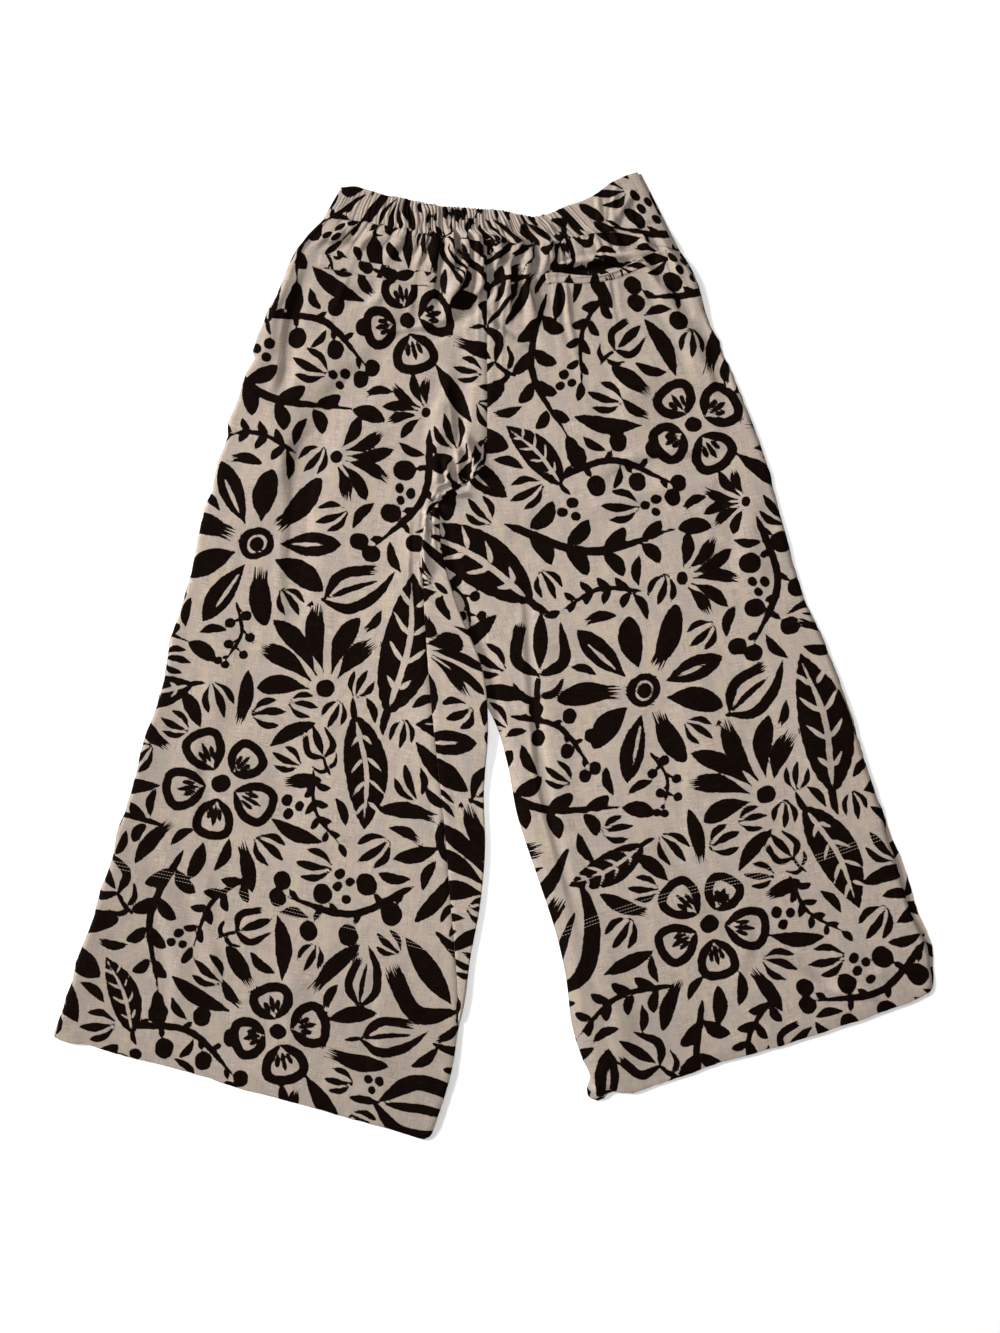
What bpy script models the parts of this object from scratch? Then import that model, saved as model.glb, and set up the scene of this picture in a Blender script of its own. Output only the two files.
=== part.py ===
"""Wide-leg culottes lying flat, back upward, wearer's left leg on the -X side, waist towards +Y.

Eight cut pieces: two flat fronts underneath, two gathered backs on top, a gathered and a flat
waistband, and two pocket welts.  All tables are in millimetres; the floor is z = 0.
"""
import bmesh
import bpy
import numpy as np
from mathutils import Vector
from mathutils.bvhtree import BVHTree

MM = 0.001

# Wall thicknesses and clearances
CLOTH_WALL = 1.2
HEM_WALL = 1.8
BACK_BAND_WALL = 2.0
FRONT_BAND_WALL = 1.8
WELT_WALL = 1.0
SEAM_GAP = 0.3
LAYER_GAP = 0.3

# How far the back floats above its lowest level, and how soon it settles at a folded edge
LOFT = 1.3
SIDE_SETTLE = 14.0
INNER_SETTLE = 16.0
LIFT_SPREAD = 45.0
RAMP_WIDTH = 10.0
WAIST_BLEND = 110.0
WAIST_EASE = (-12.0, -9.0, -6.0, -3.0, 0.0, 3.0, 6.0, 9.0, 12.0)

# Gathers: two grid columns to each gather, unevenly pitched, strong and weak ones in turn
BACK_GATHERS = 17
GATHER_HEIGHT = 2.4
GATHER_START = 0.45
GATHER_AT_SEAM = 0.3
GATHER_FULL = 22.0
GATHER_PITCH = (1.0, 0.8, 1.2, 0.9, 1.3, 0.85, 1.1)
GATHER_STRENGTH = (1.0, 0.55, 0.8, 0.4, 0.95, 0.65, 0.3, 0.85)
GATHER_REACH = (95.0, 60.0, 120.0, 70.0, 50.0, 105.0)
BAND_GATHERS = 62
BAND_GATHER_HEIGHT = 0.9
BAND_SCALLOP = 0.7
BAND_FLARE_START = 0.82
BAND_FLARE_PITCH = 2.1
BAND_FLARE_HEIGHT = 0.35
BAND_ROWS = 4
BAND_TRIM = 3.0
BAND_SAMPLES = 601
FRONT_COLUMNS = 12
FRONT_BAND_INSET = 2.0
STRIP_COLUMNS = 3
FOLD_ANGLES = (45.0, 90.0, 135.0)
STRIP_RAMP_COLUMNS = 4

# Waist seam and top edge of the band: x, y
WAIST_SEAM = (
    (-172, 435), (-150, 435), (-125, 431), (-95, 425), (-65, 419), (-35, 416), (-5, 414), (25, 409),
    (45, 408), (65, 413), (85, 419), (105, 422), (125, 422), (145, 416), (165, 407), (185, 403),
)
BAND_TOP = (
    (-154, 466), (-140, 468), (-125, 463), (-95, 456), (-65, 449), (-35, 446), (-5, 444), (25, 438),
    (40, 436), (55, 440), (70, 447), (85, 452), (100, 459), (115, 471), (130, 478), (146, 483),
)

# Left leg: side seam x, y; inner fold x, y; back inseam x, y; lift over the other leg;
# x where that lift is complete; 1 where the cloth is doubled for the hem; back rows to the next
LEFT_RISE = (
    ("waist", -172, 435, -8, 414, -8, 414, 0, -8, 0, 2),
    ("yoke", -186, 419, -8, 397, -8, 397, 0, -8, 0, 2),
    ("hip_top", -203, 395, -8, 370, -8, 370, 0, -8, 0, 2),
    ("hip", -223, 345, -8, 325, -8, 325, 0, -8, 0, 2),
    ("hip_low", -240, 295, -8, 277, -8, 277, 0, -8, 0, 2),
    ("seat", -261, 245, -8, 231, -8, 231, 0, -8, 0, 1),
    ("seat_low", -275, 195, -11, 189, -11, 189, 0, -11, 0, 1),
    ("rise_end", -282, 168, -34, 168, -34, 168, 0, -34, 0, 1),
    ("crotch", -286, 152, -56, 153, -56, 153, 0, -58, 0, 0),
)
LEFT_LEG = (
    ("crotch", -286, 152, -56, 153, -56, 153, 0, -58, 0, 1),
    ("fork", -287, 147, -56.5, 148, -61.5, 147, 0.8, -61, 0, 1),
    ("thigh_top", -292, 132, -55, 137, -69, 136, 3, -63, 0, 1),
    ("thigh", -301, 99, -53, 103, -73, 105, 3, -64, 0, 2),
    ("thigh_mid", -314, 45, -37, 47, -71, 49, 3, -60, 0, 2),
    ("thigh_low", -327, -3, -13, -13, -67, -11, 3, -43, 0, 2),
    ("knee_top", -338, -47, -7, -70, -62, -67, 3, -15, 0, 2),
    ("knee", -349, -90, -11, -135, -55, -131, 0, -15, 0, 1),
    ("knee_low", -361, -130, -10, -195, -49, -190, 0, -15, 0, 1),
    ("shin", -372, -170, -15, -250, -45, -244, 0, -15, 0, 1),
    ("over_hem", -383.5, -208, -24, -300, -40.3, -296, 0, -24, 0, 1),
    ("hem_fold", -385, -213, -25, -305, -40, -301, 0, -25, 1, 1),
    ("shin_low", -398, -253, -30, -345, -37.5, -343, 0, -30, 1, 1),
    ("hem_top", -411, -292, -38, -381, -38, -381, 0, -38, 1, 1),
    ("hem_mid", -424, -335, -46, -426, -46, -426, 0, -46, 1, 1),
    ("hem", -438, -383, -64, -482.2, -64, -482.2, 0, -64, 1, 0),
)
LEFT_WRAP_ROWS = ("fork", "shin_low")

# Right leg: inner edge x, y; side edge of the front x, y; how far the front shows past the back;
# sag of the row below a straight line; width kept flat under the other leg; doubled; back rows
RIGHT_RISE = (
    ("waist", -8, 414, 185, 403, 4, 0, -16, 0, 2),
    ("yoke", -8, 397, 193, 391, 3, 0, -16, 0, 2),
    ("hip_top", -8, 370, 204, 367, 1, 0, -16, 0, 2),
    ("hip", -8, 325, 216, 325, 0.5, 0, -16, 0, 2),
    ("hip_low", -8, 277, 238, 277, 0.5, 0, -16, 0, 2),
    ("seat", -8, 231, 258, 231, 0.5, 0, -16, 0, 1),
    ("seat_low", -11, 189, 273, 191, 0.5, 0, -16, 0, 1),
    ("rise_end", -34, 168, 279, 167, 0.5, 0, -16, 0, 1),
    ("crotch", -56, 153, 284, 147, 0.5, 0, -2, 0, 0),
)
RIGHT_LEG = (
    ("crotch", -56, 153, 284, 147, 0.5, 0, -2, 0, 1),
    ("thigh_top", -53, 135, 287, 135, 0.5, 0, 3, 0, 1),
    ("thigh", -61, 107, 295, 107, 0.5, 0, 12, 0, 2),
    ("thigh_mid", -59, 57, 308, 60, 0.5, 0, 23, 0, 2),
    ("thigh_low", -43, 5, 327, 19, 0.5, 0, 30, 0, 2),
    ("knee_top", -3, -61, 346, -29, 0.5, 0, 2, 0, 2),
    ("knee", 12, -107, 362, -69, 0.5, 0, 0, 0, 1),
    ("knee_low", 23, -163, 375, -115, 0.5, 0, 0, 0, 1),
    ("shin", 44, -226, 385, -149, 1, 1, 0, 0, 1),
    ("over_hem", 59.5, -273, 392.7, -172.5, 4, 3, 0, 0, 1),
    ("hem_fold", 61, -278, 394, -177, 4, 3, 0, 1, 1),
    ("shin_low", 71, -323, 409, -217, 7, 5, 0, 1, 1),
    ("hem_top", 76, -365, 425, -263, 7, 6, 0, 1, 1),
    ("hem_mid", 84, -400, 437, -302, 4, 7, 0, 1, 1),
    ("hem", 95, -442, 438, -334, 0.5, 8, 0, 1, 0),
)

# Main folds of the back, each a bent line: x, y at start, middle and end; half width; height
FOLDS = (
    ("left_hip_trough", -75, 305, -173, 240, -197, 95, 18, -1.3),
    ("left_hip_ridge", -103, 325, -207, 250, -227, 95, 22, 2.0),
    ("seat_valley", -28, 305, -43, 215, -55, 159, 10, -1.3),
    ("seat_ridge", -21, 355, -19, 235, -37, 177, 12, 1.8),
    ("centre_fold_left", -17, 400, -29, 360, -45, 315, 9, 1.6),
    ("centre_fold_right", 1, 393, 20, 350, 45, 310, 9, 1.6),
    ("right_seat_trough", 65, 175, 145, 193, 225, 205, 16, -1.3),
    ("right_side_trough", 227, 205, 232, 135, 230, 55, 16, -1.2),
    ("right_seat_ridge", 85, 135, 155, 155, 210, 160, 18, 1.6),
    ("right_inner_crease", 26, 91, 36, -25, 54, -200, 9, -1.2),
    ("right_inner_ridge", 45, 55, 57, -65, 77, -225, 13, 1.8),
    ("right_hip_crease", 169, 397, 189, 350, 221, 285, 9, -1.2),
    ("right_hip_ridge", 155, 390, 173, 337, 205, 270, 11, 1.6),
    ("left_thigh_ridge", -95, 115, -90, 15, -80, -85, 14, 1.4),
    ("left_shin_ridge", -165, -45, -173, -145, -177, -225, 20, 1.4),
    ("left_hem_ripple_side", -331, -195, -325, -265, -321, -335, 11, 1.6),
    ("left_hem_ripple_mid", -290, -205, -286, -275, -283, -345, 10, 1.3),
    ("left_hem_ripple_inner", -107, -295, -111, -345, -117, -395, 11, 1.5),
    ("right_hem_ripple", 252, -235, 248, -285, 241, -335, 11, 1.4),
    ("right_hem_corner", 320, -320, 350, -335, 385, -345, 9, 1.4),
    ("right_shin_ridge", 195, 15, 210, -85, 217, -185, 20, 1.4),
)
FOLD_TAPER = 0.25

# Pocket welts: lower edge centre end x, y; lower edge side end x, y; height; wall rises from centre
WELTS = (
    ("welt_left", -60, 366, -177, 387, 14),
    ("welt_right", 52, 369, 173, 393, 12),
)
WELT_COLUMNS = 26
WELT_ROWS = 3
WELT_REACH = 3.0
WELT_SAMPLES = 9
WELT_CALM = 0.3
WELT_SPREAD = 16.0

MATERIALS = (
    ("body_linen", (0.43, 0.37, 0.31), 0.88),
    ("band_linen", (0.41, 0.35, 0.29), 0.9),
    ("welt_linen", (0.44, 0.38, 0.32), 0.88),
)


def clear_scene():
    """Remove every object so the part stands alone."""
    for item in list(bpy.data.objects):
        bpy.data.objects.remove(item, do_unlink=True)


def make_material(name, colour, roughness):
    """Plain woven cloth surface."""
    material = bpy.data.materials.new(name)
    material.use_nodes = True
    shader = material.node_tree.nodes["Principled BSDF"]
    shader.inputs["Base Color"].default_value = (*colour, 1.0)
    shader.inputs["Roughness"].default_value = roughness
    shader.inputs["Metallic"].default_value = 0.0
    return material


def smooth(value):
    """Ease from 0 to 1."""
    value = np.clip(value, 0.0, 1.0)
    return value * value * (3.0 - 2.0 * value)


def stations(table, fine):
    """Rows of values through the table, each interval divided by its last column where fine."""
    values = np.array([row[1:-1] for row in table], float)
    slopes = np.gradient(values, axis=0)
    rows = []
    for index in range(len(table) - 1):
        count = table[index][-1] if fine else 1
        for step in range(count):
            t = step / count
            start = values[index] * (1 + 2 * t) * (1 - t) ** 2
            end = values[index + 1] * t * t * (3 - 2 * t)
            bend = slopes[index] * t * (1 - t) ** 2 + slopes[index + 1] * t * t * (t - 1)
            rows.append(start + end + bend)
    rows.append(values[-1])
    return np.array(rows)


def panel_rows(rise, leg, fine):
    """Rise and leg rows joined at the crotch, which both tables hold."""
    return np.vstack([stations(rise, fine)[:-1], stations(leg, fine)])


def uneven(count):
    """Positions from 0 to 1 of 2 * count grid lines, in pairs of uneven pitch."""
    pitch = [GATHER_PITCH[i // 2 % len(GATHER_PITCH)] for i in range(2 * count)]
    return np.concatenate([[0.0], np.cumsum(pitch)]) / np.sum(pitch)


def waist_y(x):
    """Height of the waist seam at x, its corners eased."""
    xs, ys = zip(*WAIST_SEAM)
    return np.mean([np.interp(x + shift, xs, ys) for shift in WAIST_EASE], axis=0)


def follow_waist(x, y):
    """Bend the uppermost rows so that the first one runs just below the waist seam; depth of each row."""
    middle = x.shape[1] // 2
    depth = np.hypot(x[:, middle] - x[0, middle], y[:, middle] - y[0, middle])
    hold = np.clip(1.0 - depth / WAIST_BLEND, 0.0, 1.0) ** 2
    shift = waist_y(x[0]) - SEAM_GAP / 2 - y[0]
    return y + hold[:, None] * shift[None, :], depth


def fold_height(x, y):
    """Sum of the main folds at each point."""
    total = np.zeros_like(x)
    for _, x0, y0, x1, y1, x2, y2, half, height in FOLDS:
        first = np.hypot(x1 - x0, y1 - y0)
        second = np.hypot(x2 - x1, y2 - y1)
        near = np.full(x.shape, 1e9)
        place = np.zeros_like(x)
        for ax, ay, bx, by, before, length in ((x0, y0, x1, y1, 0.0, first), (x1, y1, x2, y2, first, second)):
            t = np.clip(((x - ax) * (bx - ax) + (y - ay) * (by - ay)) / length ** 2, 0.0, 1.0)
            gap = np.hypot(x - ax - t * (bx - ax), y - ay - t * (by - ay))
            place = np.where(gap < near, (before + t * length) / (first + second), place)
            near = np.minimum(near, gap)
        across = 0.5 + 0.5 * np.cos(np.pi * np.clip(near / half, 0.0, 1.0))
        taper = smooth(place / FOLD_TAPER) * smooth((1.0 - place) / FOLD_TAPER)
        total += height * across * taper
    return total


def welt_calm(x, y):
    """Share of the gathers left near a pocket welt, which holds the cloth flat."""
    share = np.ones_like(x)
    for _, x0, y0, x1, y1, height in WELTS:
        t = np.clip(((x - x0) * (x1 - x0) + (y - y0) * (y1 - y0)) / ((x1 - x0) ** 2 + (y1 - y0) ** 2), 0.0, 1.0)
        gap = np.hypot(x - x0 - t * (x1 - x0), y - y0 - height / 2 - t * (y1 - y0))
        share = np.minimum(share, WELT_CALM + (1 - WELT_CALM) * smooth((gap - height / 2) / WELT_SPREAD))
    return share


def gathers(x, y, depth):
    """Height of the gathers: ridges on odd columns, dying away below the waist."""
    columns = x.shape[1]
    height = np.zeros_like(x)
    swell = GATHER_START + (1 - GATHER_START) * smooth(depth / GATHER_FULL)
    for column in range(1, columns, 2):
        gather = column // 2
        reach = GATHER_REACH[gather % len(GATHER_REACH)]
        strength = GATHER_STRENGTH[gather % len(GATHER_STRENGTH)]
        seam = GATHER_AT_SEAM if column in (1, columns - 2) else 1.0
        height[:, column] = GATHER_HEIGHT * seam * strength * swell * np.exp(-(depth / reach) ** 2)
    return height * welt_calm(x, y)


def sheet(name, x, y, z, wall, material):
    """Closed cloth solid: middle surface on a grid, thickened evenly; cells with no point are left out."""
    mesh = bpy.data.meshes.new(name)
    build = bmesh.new()
    shape = x.shape
    points = {}
    for i in range(shape[0]):
        for j in range(shape[1]):
            if not np.isnan(z[i, j]):
                points[i, j] = build.verts.new((x[i, j] * MM, y[i, j] * MM, z[i, j] * MM))
    for i in range(shape[0] - 1):
        for j in range(shape[1] - 1):
            corners = [points.get(key) for key in ((i, j), (i + 1, j), (i + 1, j + 1), (i, j + 1))]
            if None not in corners:
                build.faces.new(corners)
    bmesh.ops.triangulate(build, faces=build.faces[:])
    bmesh.ops.recalc_face_normals(build, faces=build.faces[:])
    build.verts.index_update()
    order = {vertex.index: key for key, vertex in points.items()}
    build.to_mesh(mesh)
    build.free()
    item = bpy.data.objects.new(name, mesh)
    bpy.context.scene.collection.children["culottes"].objects.link(item)
    widest = float(np.nanmax(wall))
    group = item.vertex_groups.new(name="wall")
    for index, key in order.items():
        group.add([index], float(wall[key[0]]) / widest, "REPLACE")
    thicken = item.modifiers.new("thicken", "SOLIDIFY")
    thicken.thickness = widest * MM
    thicken.offset = 0.0
    thicken.use_even_offset = True
    thicken.use_quality_normals = True
    thicken.vertex_group = group.name
    mesh.materials.append(material)
    for face in mesh.polygons:
        face.use_smooth = True
    return item


def walls(doubled):
    """Wall of each row."""
    return CLOTH_WALL + (HEM_WALL - CLOTH_WALL) * doubled


def lowest_back(wall):
    """Middle height of a back row resting on the front, both of the same wall."""
    return wall + LAYER_GAP + wall / 2


def back_left(material):
    """Gathered back panel of the left leg, from the side seam to the centre seam and the inseam."""
    rows = panel_rows(LEFT_RISE, LEFT_LEG, True)
    side_x, side_y, _, _, seam_x, seam_y, lift, _, doubled = rows.T
    u = uneven(BACK_GATHERS)
    x = side_x[:, None] + (seam_x - SEAM_GAP / 2 - side_x)[:, None] * u
    y = side_y[:, None] + (seam_y - side_y)[:, None] * u
    y[:, -1] += SEAM_GAP / 2
    y, depth = follow_waist(x, y)
    wall = walls(doubled)
    settle = smooth((x - side_x[:, None]) / SIDE_SETTLE)
    height = np.maximum(LOFT + fold_height(x, y) + gathers(x, y, depth), 0.0)
    rise = lift[:, None] * smooth(1.0 - (seam_x[:, None] - x) / LIFT_SPREAD)
    z = lowest_back(wall)[:, None] + settle * height + rise
    return sheet("back_left", x, y, z, wall, material)


def back_right(material):
    """Gathered back panel of the right leg, from the centre seam and the inner edge to the side seam."""
    rows = panel_rows(RIGHT_RISE, RIGHT_LEG, True)
    inner_x, inner_y, side_x, side_y, peek, sag, press, doubled = rows.T
    u = uneven(BACK_GATHERS)
    start = inner_x + SEAM_GAP / 2
    end = side_x - peek
    x = start[:, None] + (end - start)[:, None] * u
    y = inner_y[:, None] + (side_y - inner_y)[:, None] * u - sag[:, None] * 4 * (u - u * u)
    y[:, 0] -= SEAM_GAP / 2
    y, depth = follow_waist(x, y)
    wall = walls(doubled)
    settle = smooth((end[:, None] - x) / SIDE_SETTLE)
    settle = settle * smooth((x - start[:, None] - press[:, None]) / INNER_SETTLE)
    height = np.maximum(LOFT + fold_height(x, y) + gathers(x, y, depth), 0.0)
    z = lowest_back(wall)[:, None] + settle * height
    return sheet("back_right", x, y, z, wall, material)


def front_right(material):
    """Flat front panel of the right leg; returns where its waist seam is divided."""
    rows = panel_rows(RIGHT_RISE, RIGHT_LEG, False)
    inner_x, inner_y, side_x, side_y, _, sag, _, doubled = rows.T
    u = np.linspace(0.0, 1.0, FRONT_COLUMNS + 1)
    start = inner_x + SEAM_GAP / 2
    x = start[:, None] + (side_x - start)[:, None] * u
    y = inner_y[:, None] + (side_y - inner_y)[:, None] * u - sag[:, None] * 4 * (u - u * u)
    y[:, 0] -= SEAM_GAP / 2
    y, _ = follow_waist(x, y)
    wall = walls(doubled)
    z = np.repeat(wall[:, None] / 2, x.shape[1], axis=1)
    sheet("front_right", x, y, z, wall, material)
    return x[0]


def front_left(material):
    """Front panel of the left leg: flat, over the other leg, round its fold and back to the inseam."""
    rows = panel_rows(LEFT_RISE, LEFT_LEG, False)
    names = [row[0] for row in LEFT_RISE[:-1] + LEFT_LEG]
    first, last = (names.index(name) for name in LEFT_WRAP_ROWS)
    side_x, side_y, fold_x, fold_y, seam_x, seam_y, lift, ramp_x, doubled = rows.T
    wall = walls(doubled)
    flat_z = wall / 2
    strip_z = lowest_back(wall) + LOFT + lift
    radius = (strip_z - flat_z - lift) / 2
    grid = []
    for i in range(len(rows)):
        wrapped = first <= i <= last
        reach = radius[i] + wall[i] / 2 if wrapped else SEAM_GAP / 2
        edge = fold_x[i] - reach
        ramp_end = min(ramp_x[i], edge)
        u = np.linspace(0.0, 1.0, FRONT_COLUMNS + 1)
        flat = side_x[i] + 0.5 + (ramp_end - RAMP_WIDTH - side_x[i] - 0.5) * u
        climb = ramp_end - RAMP_WIDTH + RAMP_WIDTH * np.linspace(0.0, 1.0, STRIP_RAMP_COLUMNS + 1)[1:]
        x = np.concatenate([flat, climb, [max(edge, ramp_end + 0.05)]])
        z = flat_z[i] + lift[i] * smooth((x - ramp_end + RAMP_WIDTH) / RAMP_WIDTH)
        if wrapped:
            turn = np.radians(FOLD_ANGLES)
            top_x = np.linspace(edge, seam_x[i] + SEAM_GAP, STRIP_COLUMNS + 1)
            x = np.concatenate([x, edge + radius[i] * np.sin(turn), top_x])
            bend_z = flat_z[i] + lift[i] + radius[i] * (1 - np.cos(turn))
            z = np.concatenate([z, bend_z, np.full(len(top_x), strip_z[i])])
        else:
            spare = len(FOLD_ANGLES) + STRIP_COLUMNS + 1
            x = np.concatenate([x, np.full(spare, edge)])
            z = np.concatenate([z, np.full(spare, np.nan)])
        slope = (fold_y[i] - side_y[i]) / (fold_x[i] - side_x[i])
        y = side_y[i] + slope * (x - side_x[i])
        if wrapped:
            back = (edge - top_x) / (edge - seam_x[i])
            y[-len(top_x):] += (seam_y[i] - side_y[i] - slope * (seam_x[i] - side_x[i])) * back
        grid.append((x, y, z))
    x, y, z = (np.array(part) for part in zip(*grid))
    y, _ = follow_waist(x, y)
    sheet("front_left", x, y, z, wall, material)
    return x[0][~np.isnan(z[0])]


def band_lines(seam_x, rows, rim):
    """Grid of a waistband between its top edge, shifted by rim, and the waist seam at seam_x."""
    top_x, top_y = (np.array(part, float) for part in zip(*BAND_TOP))
    across = (seam_x - WAIST_SEAM[0][0]) / (WAIST_SEAM[-1][0] - WAIST_SEAM[0][0])
    upper_x = top_x[0] + (top_x[-1] - top_x[0]) * across
    upper_y = np.interp(upper_x, top_x, top_y) + rim
    lower_y = waist_y(seam_x) + SEAM_GAP / 2
    v = np.linspace(0.0, 1.0, rows)[:, None]
    return upper_x + (seam_x - upper_x) * v, upper_y + (lower_y - upper_y) * v


def waistband_back(material):
    """Elasticated band in fine gathers, calmer and taller where it flares at the right end."""
    count = 2 * BAND_GATHERS
    u = np.linspace(0.0, 1.0, BAND_SAMPLES)
    density = 1.0 / np.where(u > BAND_FLARE_START, BAND_FLARE_PITCH, 1.0)
    progress = np.concatenate([[0.0], np.cumsum(density[1:])]) / np.sum(density[1:])
    across = np.interp(uneven(BAND_GATHERS), progress, u)
    start, end = WAIST_SEAM[0][0], WAIST_SEAM[-1][0] - BAND_TRIM
    x, y = band_lines(start + (end - start) * across, BAND_ROWS, BAND_SCALLOP * (np.arange(count + 1) % 2))
    base = FRONT_BAND_WALL + LAYER_GAP + BACK_BAND_WALL / 2
    ridge = np.arange(count + 1) % 2
    strength = np.array([GATHER_STRENGTH[i // 2 % len(GATHER_STRENGTH)] for i in range(count + 1)])
    calm = np.where(across > BAND_FLARE_START, BAND_FLARE_HEIGHT, 1.0)
    z = np.repeat((base + BAND_GATHER_HEIGHT * (0.4 + 0.6 * strength) * calm * ridge)[None, :], BAND_ROWS, axis=0)
    return sheet("waistband_back", x, y, z, np.full(BAND_ROWS, BACK_BAND_WALL), material)


def waistband_front(seam_x, material):
    """Flat band under the gathered one, its columns those of the fronts."""
    x, y = band_lines(seam_x, 2, -FRONT_BAND_INSET)
    z = np.full(x.shape, FRONT_BAND_WALL / 2)
    return sheet("waistband_front", x, y, z, np.full(2, FRONT_BAND_WALL), material)


def welt(row, backs, material):
    """Welt lying on the back panel: the panel's own surface under it, moved out."""
    name, centre_x, centre_y, side_x, side_y, height = row
    graph = bpy.context.evaluated_depsgraph_get()
    trees = [BVHTree.FromObject(back, graph) for back in backs]
    u = np.linspace(0.0, 1.0, WELT_COLUMNS + 1)[None, :]
    v = np.linspace(0.0, 1.0, WELT_ROWS + 1)[:, None]
    along_x, along_y = side_x - centre_x, side_y - centre_y
    length = np.hypot(along_x, along_y)
    up_x, up_y = -along_y / length, along_x / length
    if up_y < 0:
        up_x, up_y = -up_x, -up_y
    x = centre_x + along_x * u + up_x * height * v
    y = centre_y + along_y * u + up_y * height * v
    z = np.zeros_like(x)
    for i in range(x.shape[0]):
        for j in range(x.shape[1]):
            tops = []
            for dx in np.linspace(-WELT_REACH, WELT_REACH, WELT_SAMPLES):
                for dy in (-WELT_REACH, 0.0, WELT_REACH):
                    start = Vector(((x[i, j] + dx) * MM, (y[i, j] + dy) * MM, 1.0))
                    for tree in trees:
                        hit = tree.ray_cast(start, Vector((0.0, 0.0, -1.0)))[0]
                        if hit is not None:
                            tops.append(hit.z / MM)
            z[i, j] = max(tops) + LAYER_GAP + WELT_WALL / 2
    return sheet(name, x, y, z, np.full(WELT_ROWS + 1, WELT_WALL), material)


def build():
    """All eight pieces in one collection."""
    clear_scene()
    collection = bpy.data.collections.new("culottes")
    bpy.context.scene.collection.children.link(collection)
    body, band, welt_cloth = (make_material(*row) for row in MATERIALS)
    seam_x = np.concatenate([front_left(body), front_right(body)[1:]])
    left = back_left(body)
    right = back_right(body)
    waistband_front(seam_x, band)
    waistband_back(band)
    bpy.context.view_layer.update()
    for row in WELTS:
        welt(row, (left, right), welt_cloth)


build()
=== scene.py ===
from functools import partial
import math

import bmesh
import bpy
import numpy as np
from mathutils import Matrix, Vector
from mathutils.bvhtree import BVHTree


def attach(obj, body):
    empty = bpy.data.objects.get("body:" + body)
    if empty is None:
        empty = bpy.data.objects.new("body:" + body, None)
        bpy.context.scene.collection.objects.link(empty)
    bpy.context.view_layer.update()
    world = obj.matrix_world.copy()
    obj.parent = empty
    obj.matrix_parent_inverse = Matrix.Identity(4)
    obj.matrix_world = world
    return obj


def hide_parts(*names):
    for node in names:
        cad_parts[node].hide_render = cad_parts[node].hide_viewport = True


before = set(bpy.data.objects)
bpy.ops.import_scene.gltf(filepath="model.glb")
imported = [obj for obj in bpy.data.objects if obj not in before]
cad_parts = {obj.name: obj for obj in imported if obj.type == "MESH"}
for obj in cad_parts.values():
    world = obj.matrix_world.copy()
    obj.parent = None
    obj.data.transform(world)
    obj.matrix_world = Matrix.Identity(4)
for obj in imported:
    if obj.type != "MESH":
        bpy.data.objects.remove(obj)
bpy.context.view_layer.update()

# Wide-leg culottes lying on their front, back upward.  Tables are in millimetres, floor at z = 0,
# wearer's left leg on the -X side, waist towards +Y.
MM = 0.001

# ---------------------------------------------------------------- form tables

# Waist seam and top edge of the band: x, y
WAIST_SEAM = (
    (-172, 435), (-150, 435), (-125, 431), (-95, 425), (-65, 419), (-35, 416), (-5, 414), (25, 409),
    (45, 408), (65, 413), (85, 419), (105, 422), (125, 422), (145, 416), (165, 407), (185, 403),
)
BAND_TOP = (
    (-154, 466), (-140, 468), (-125, 463), (-110, 458), (-95, 456), (-80, 452), (-65, 449), (-50, 446),
    (-35, 446), (-20, 444), (-5, 444), (10, 442), (25, 438), (40, 436), (55, 440), (70, 447), (85, 452),
    (100, 459), (115, 471), (130, 478), (146, 483),
)

# Left leg from the crotch down: side seam x, y; inner fold x, y; back inseam x, y; lift over the other leg;
# x where that lift is complete
LEFT_LEG = (
    (-286, 152, -56, 153, -56, 153, 0, -58), (-287, 147, -56.5, 148, -61.5, 147, 0.8, -61),
    (-292, 132, -55, 137, -69, 136, 3, -63), (-301, 99, -53, 103, -73, 105, 3, -64),
    (-314, 45, -37, 47, -71, 49, 3, -60), (-327, -3, -13, -13, -67, -11, 3, -43),
    (-338, -47, -7, -70, -62, -67, 3, -15), (-349, -90, -11, -135, -55, -131, 0, -15),
    (-361, -130, -10, -195, -49, -190, 0, -15), (-372, -170, -15, -250, -45, -244, 0, -15),
    (-385, -213, -25, -305, -40, -301, 0, -25), (-398, -253, -30, -345, -37.5, -343, 0, -30),
    (-411, -292, -38, -381, -38, -381, 0, -38), (-424, -335, -46, -426, -46, -426, 0, -46),
    (-438, -383, -64, -482, -64, -482, 0, -64),
)
# Right leg from the crotch down: inner edge x, y; side edge of the front x, y; how far the front shows past
# the back; sag of the row below a straight line; width kept flat under the other leg
RIGHT_LEG = (
    (-56, 153, 284, 147, 0.5, 0, -12), (-62, 135, 287, 135, 0.5, 0, 3), (-61, 107, 295, 107, 0.5, 0, 12),
    (-59, 57, 308, 60, 0.5, 0, 23), (-43, 5, 327, 19, 0.5, 0, 30), (-3, -61, 346, -29, 0.5, 0, 2),
    (12, -107, 362, -69, 0.5, 0, 0), (23, -163, 375, -115, 0.5, 0, 0), (44, -226, 385, -149, 1, 1, 0),
    (61, -278, 394, -177, 4, 3, 0), (71, -323, 409, -217, 7, 5, 0), (76, -365, 425, -263, 7, 6, 0),
    (84, -400, 437, -302, 4, 7, 0), (95, -442, 438, -334, 0.5, 8, 0),
)
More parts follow.
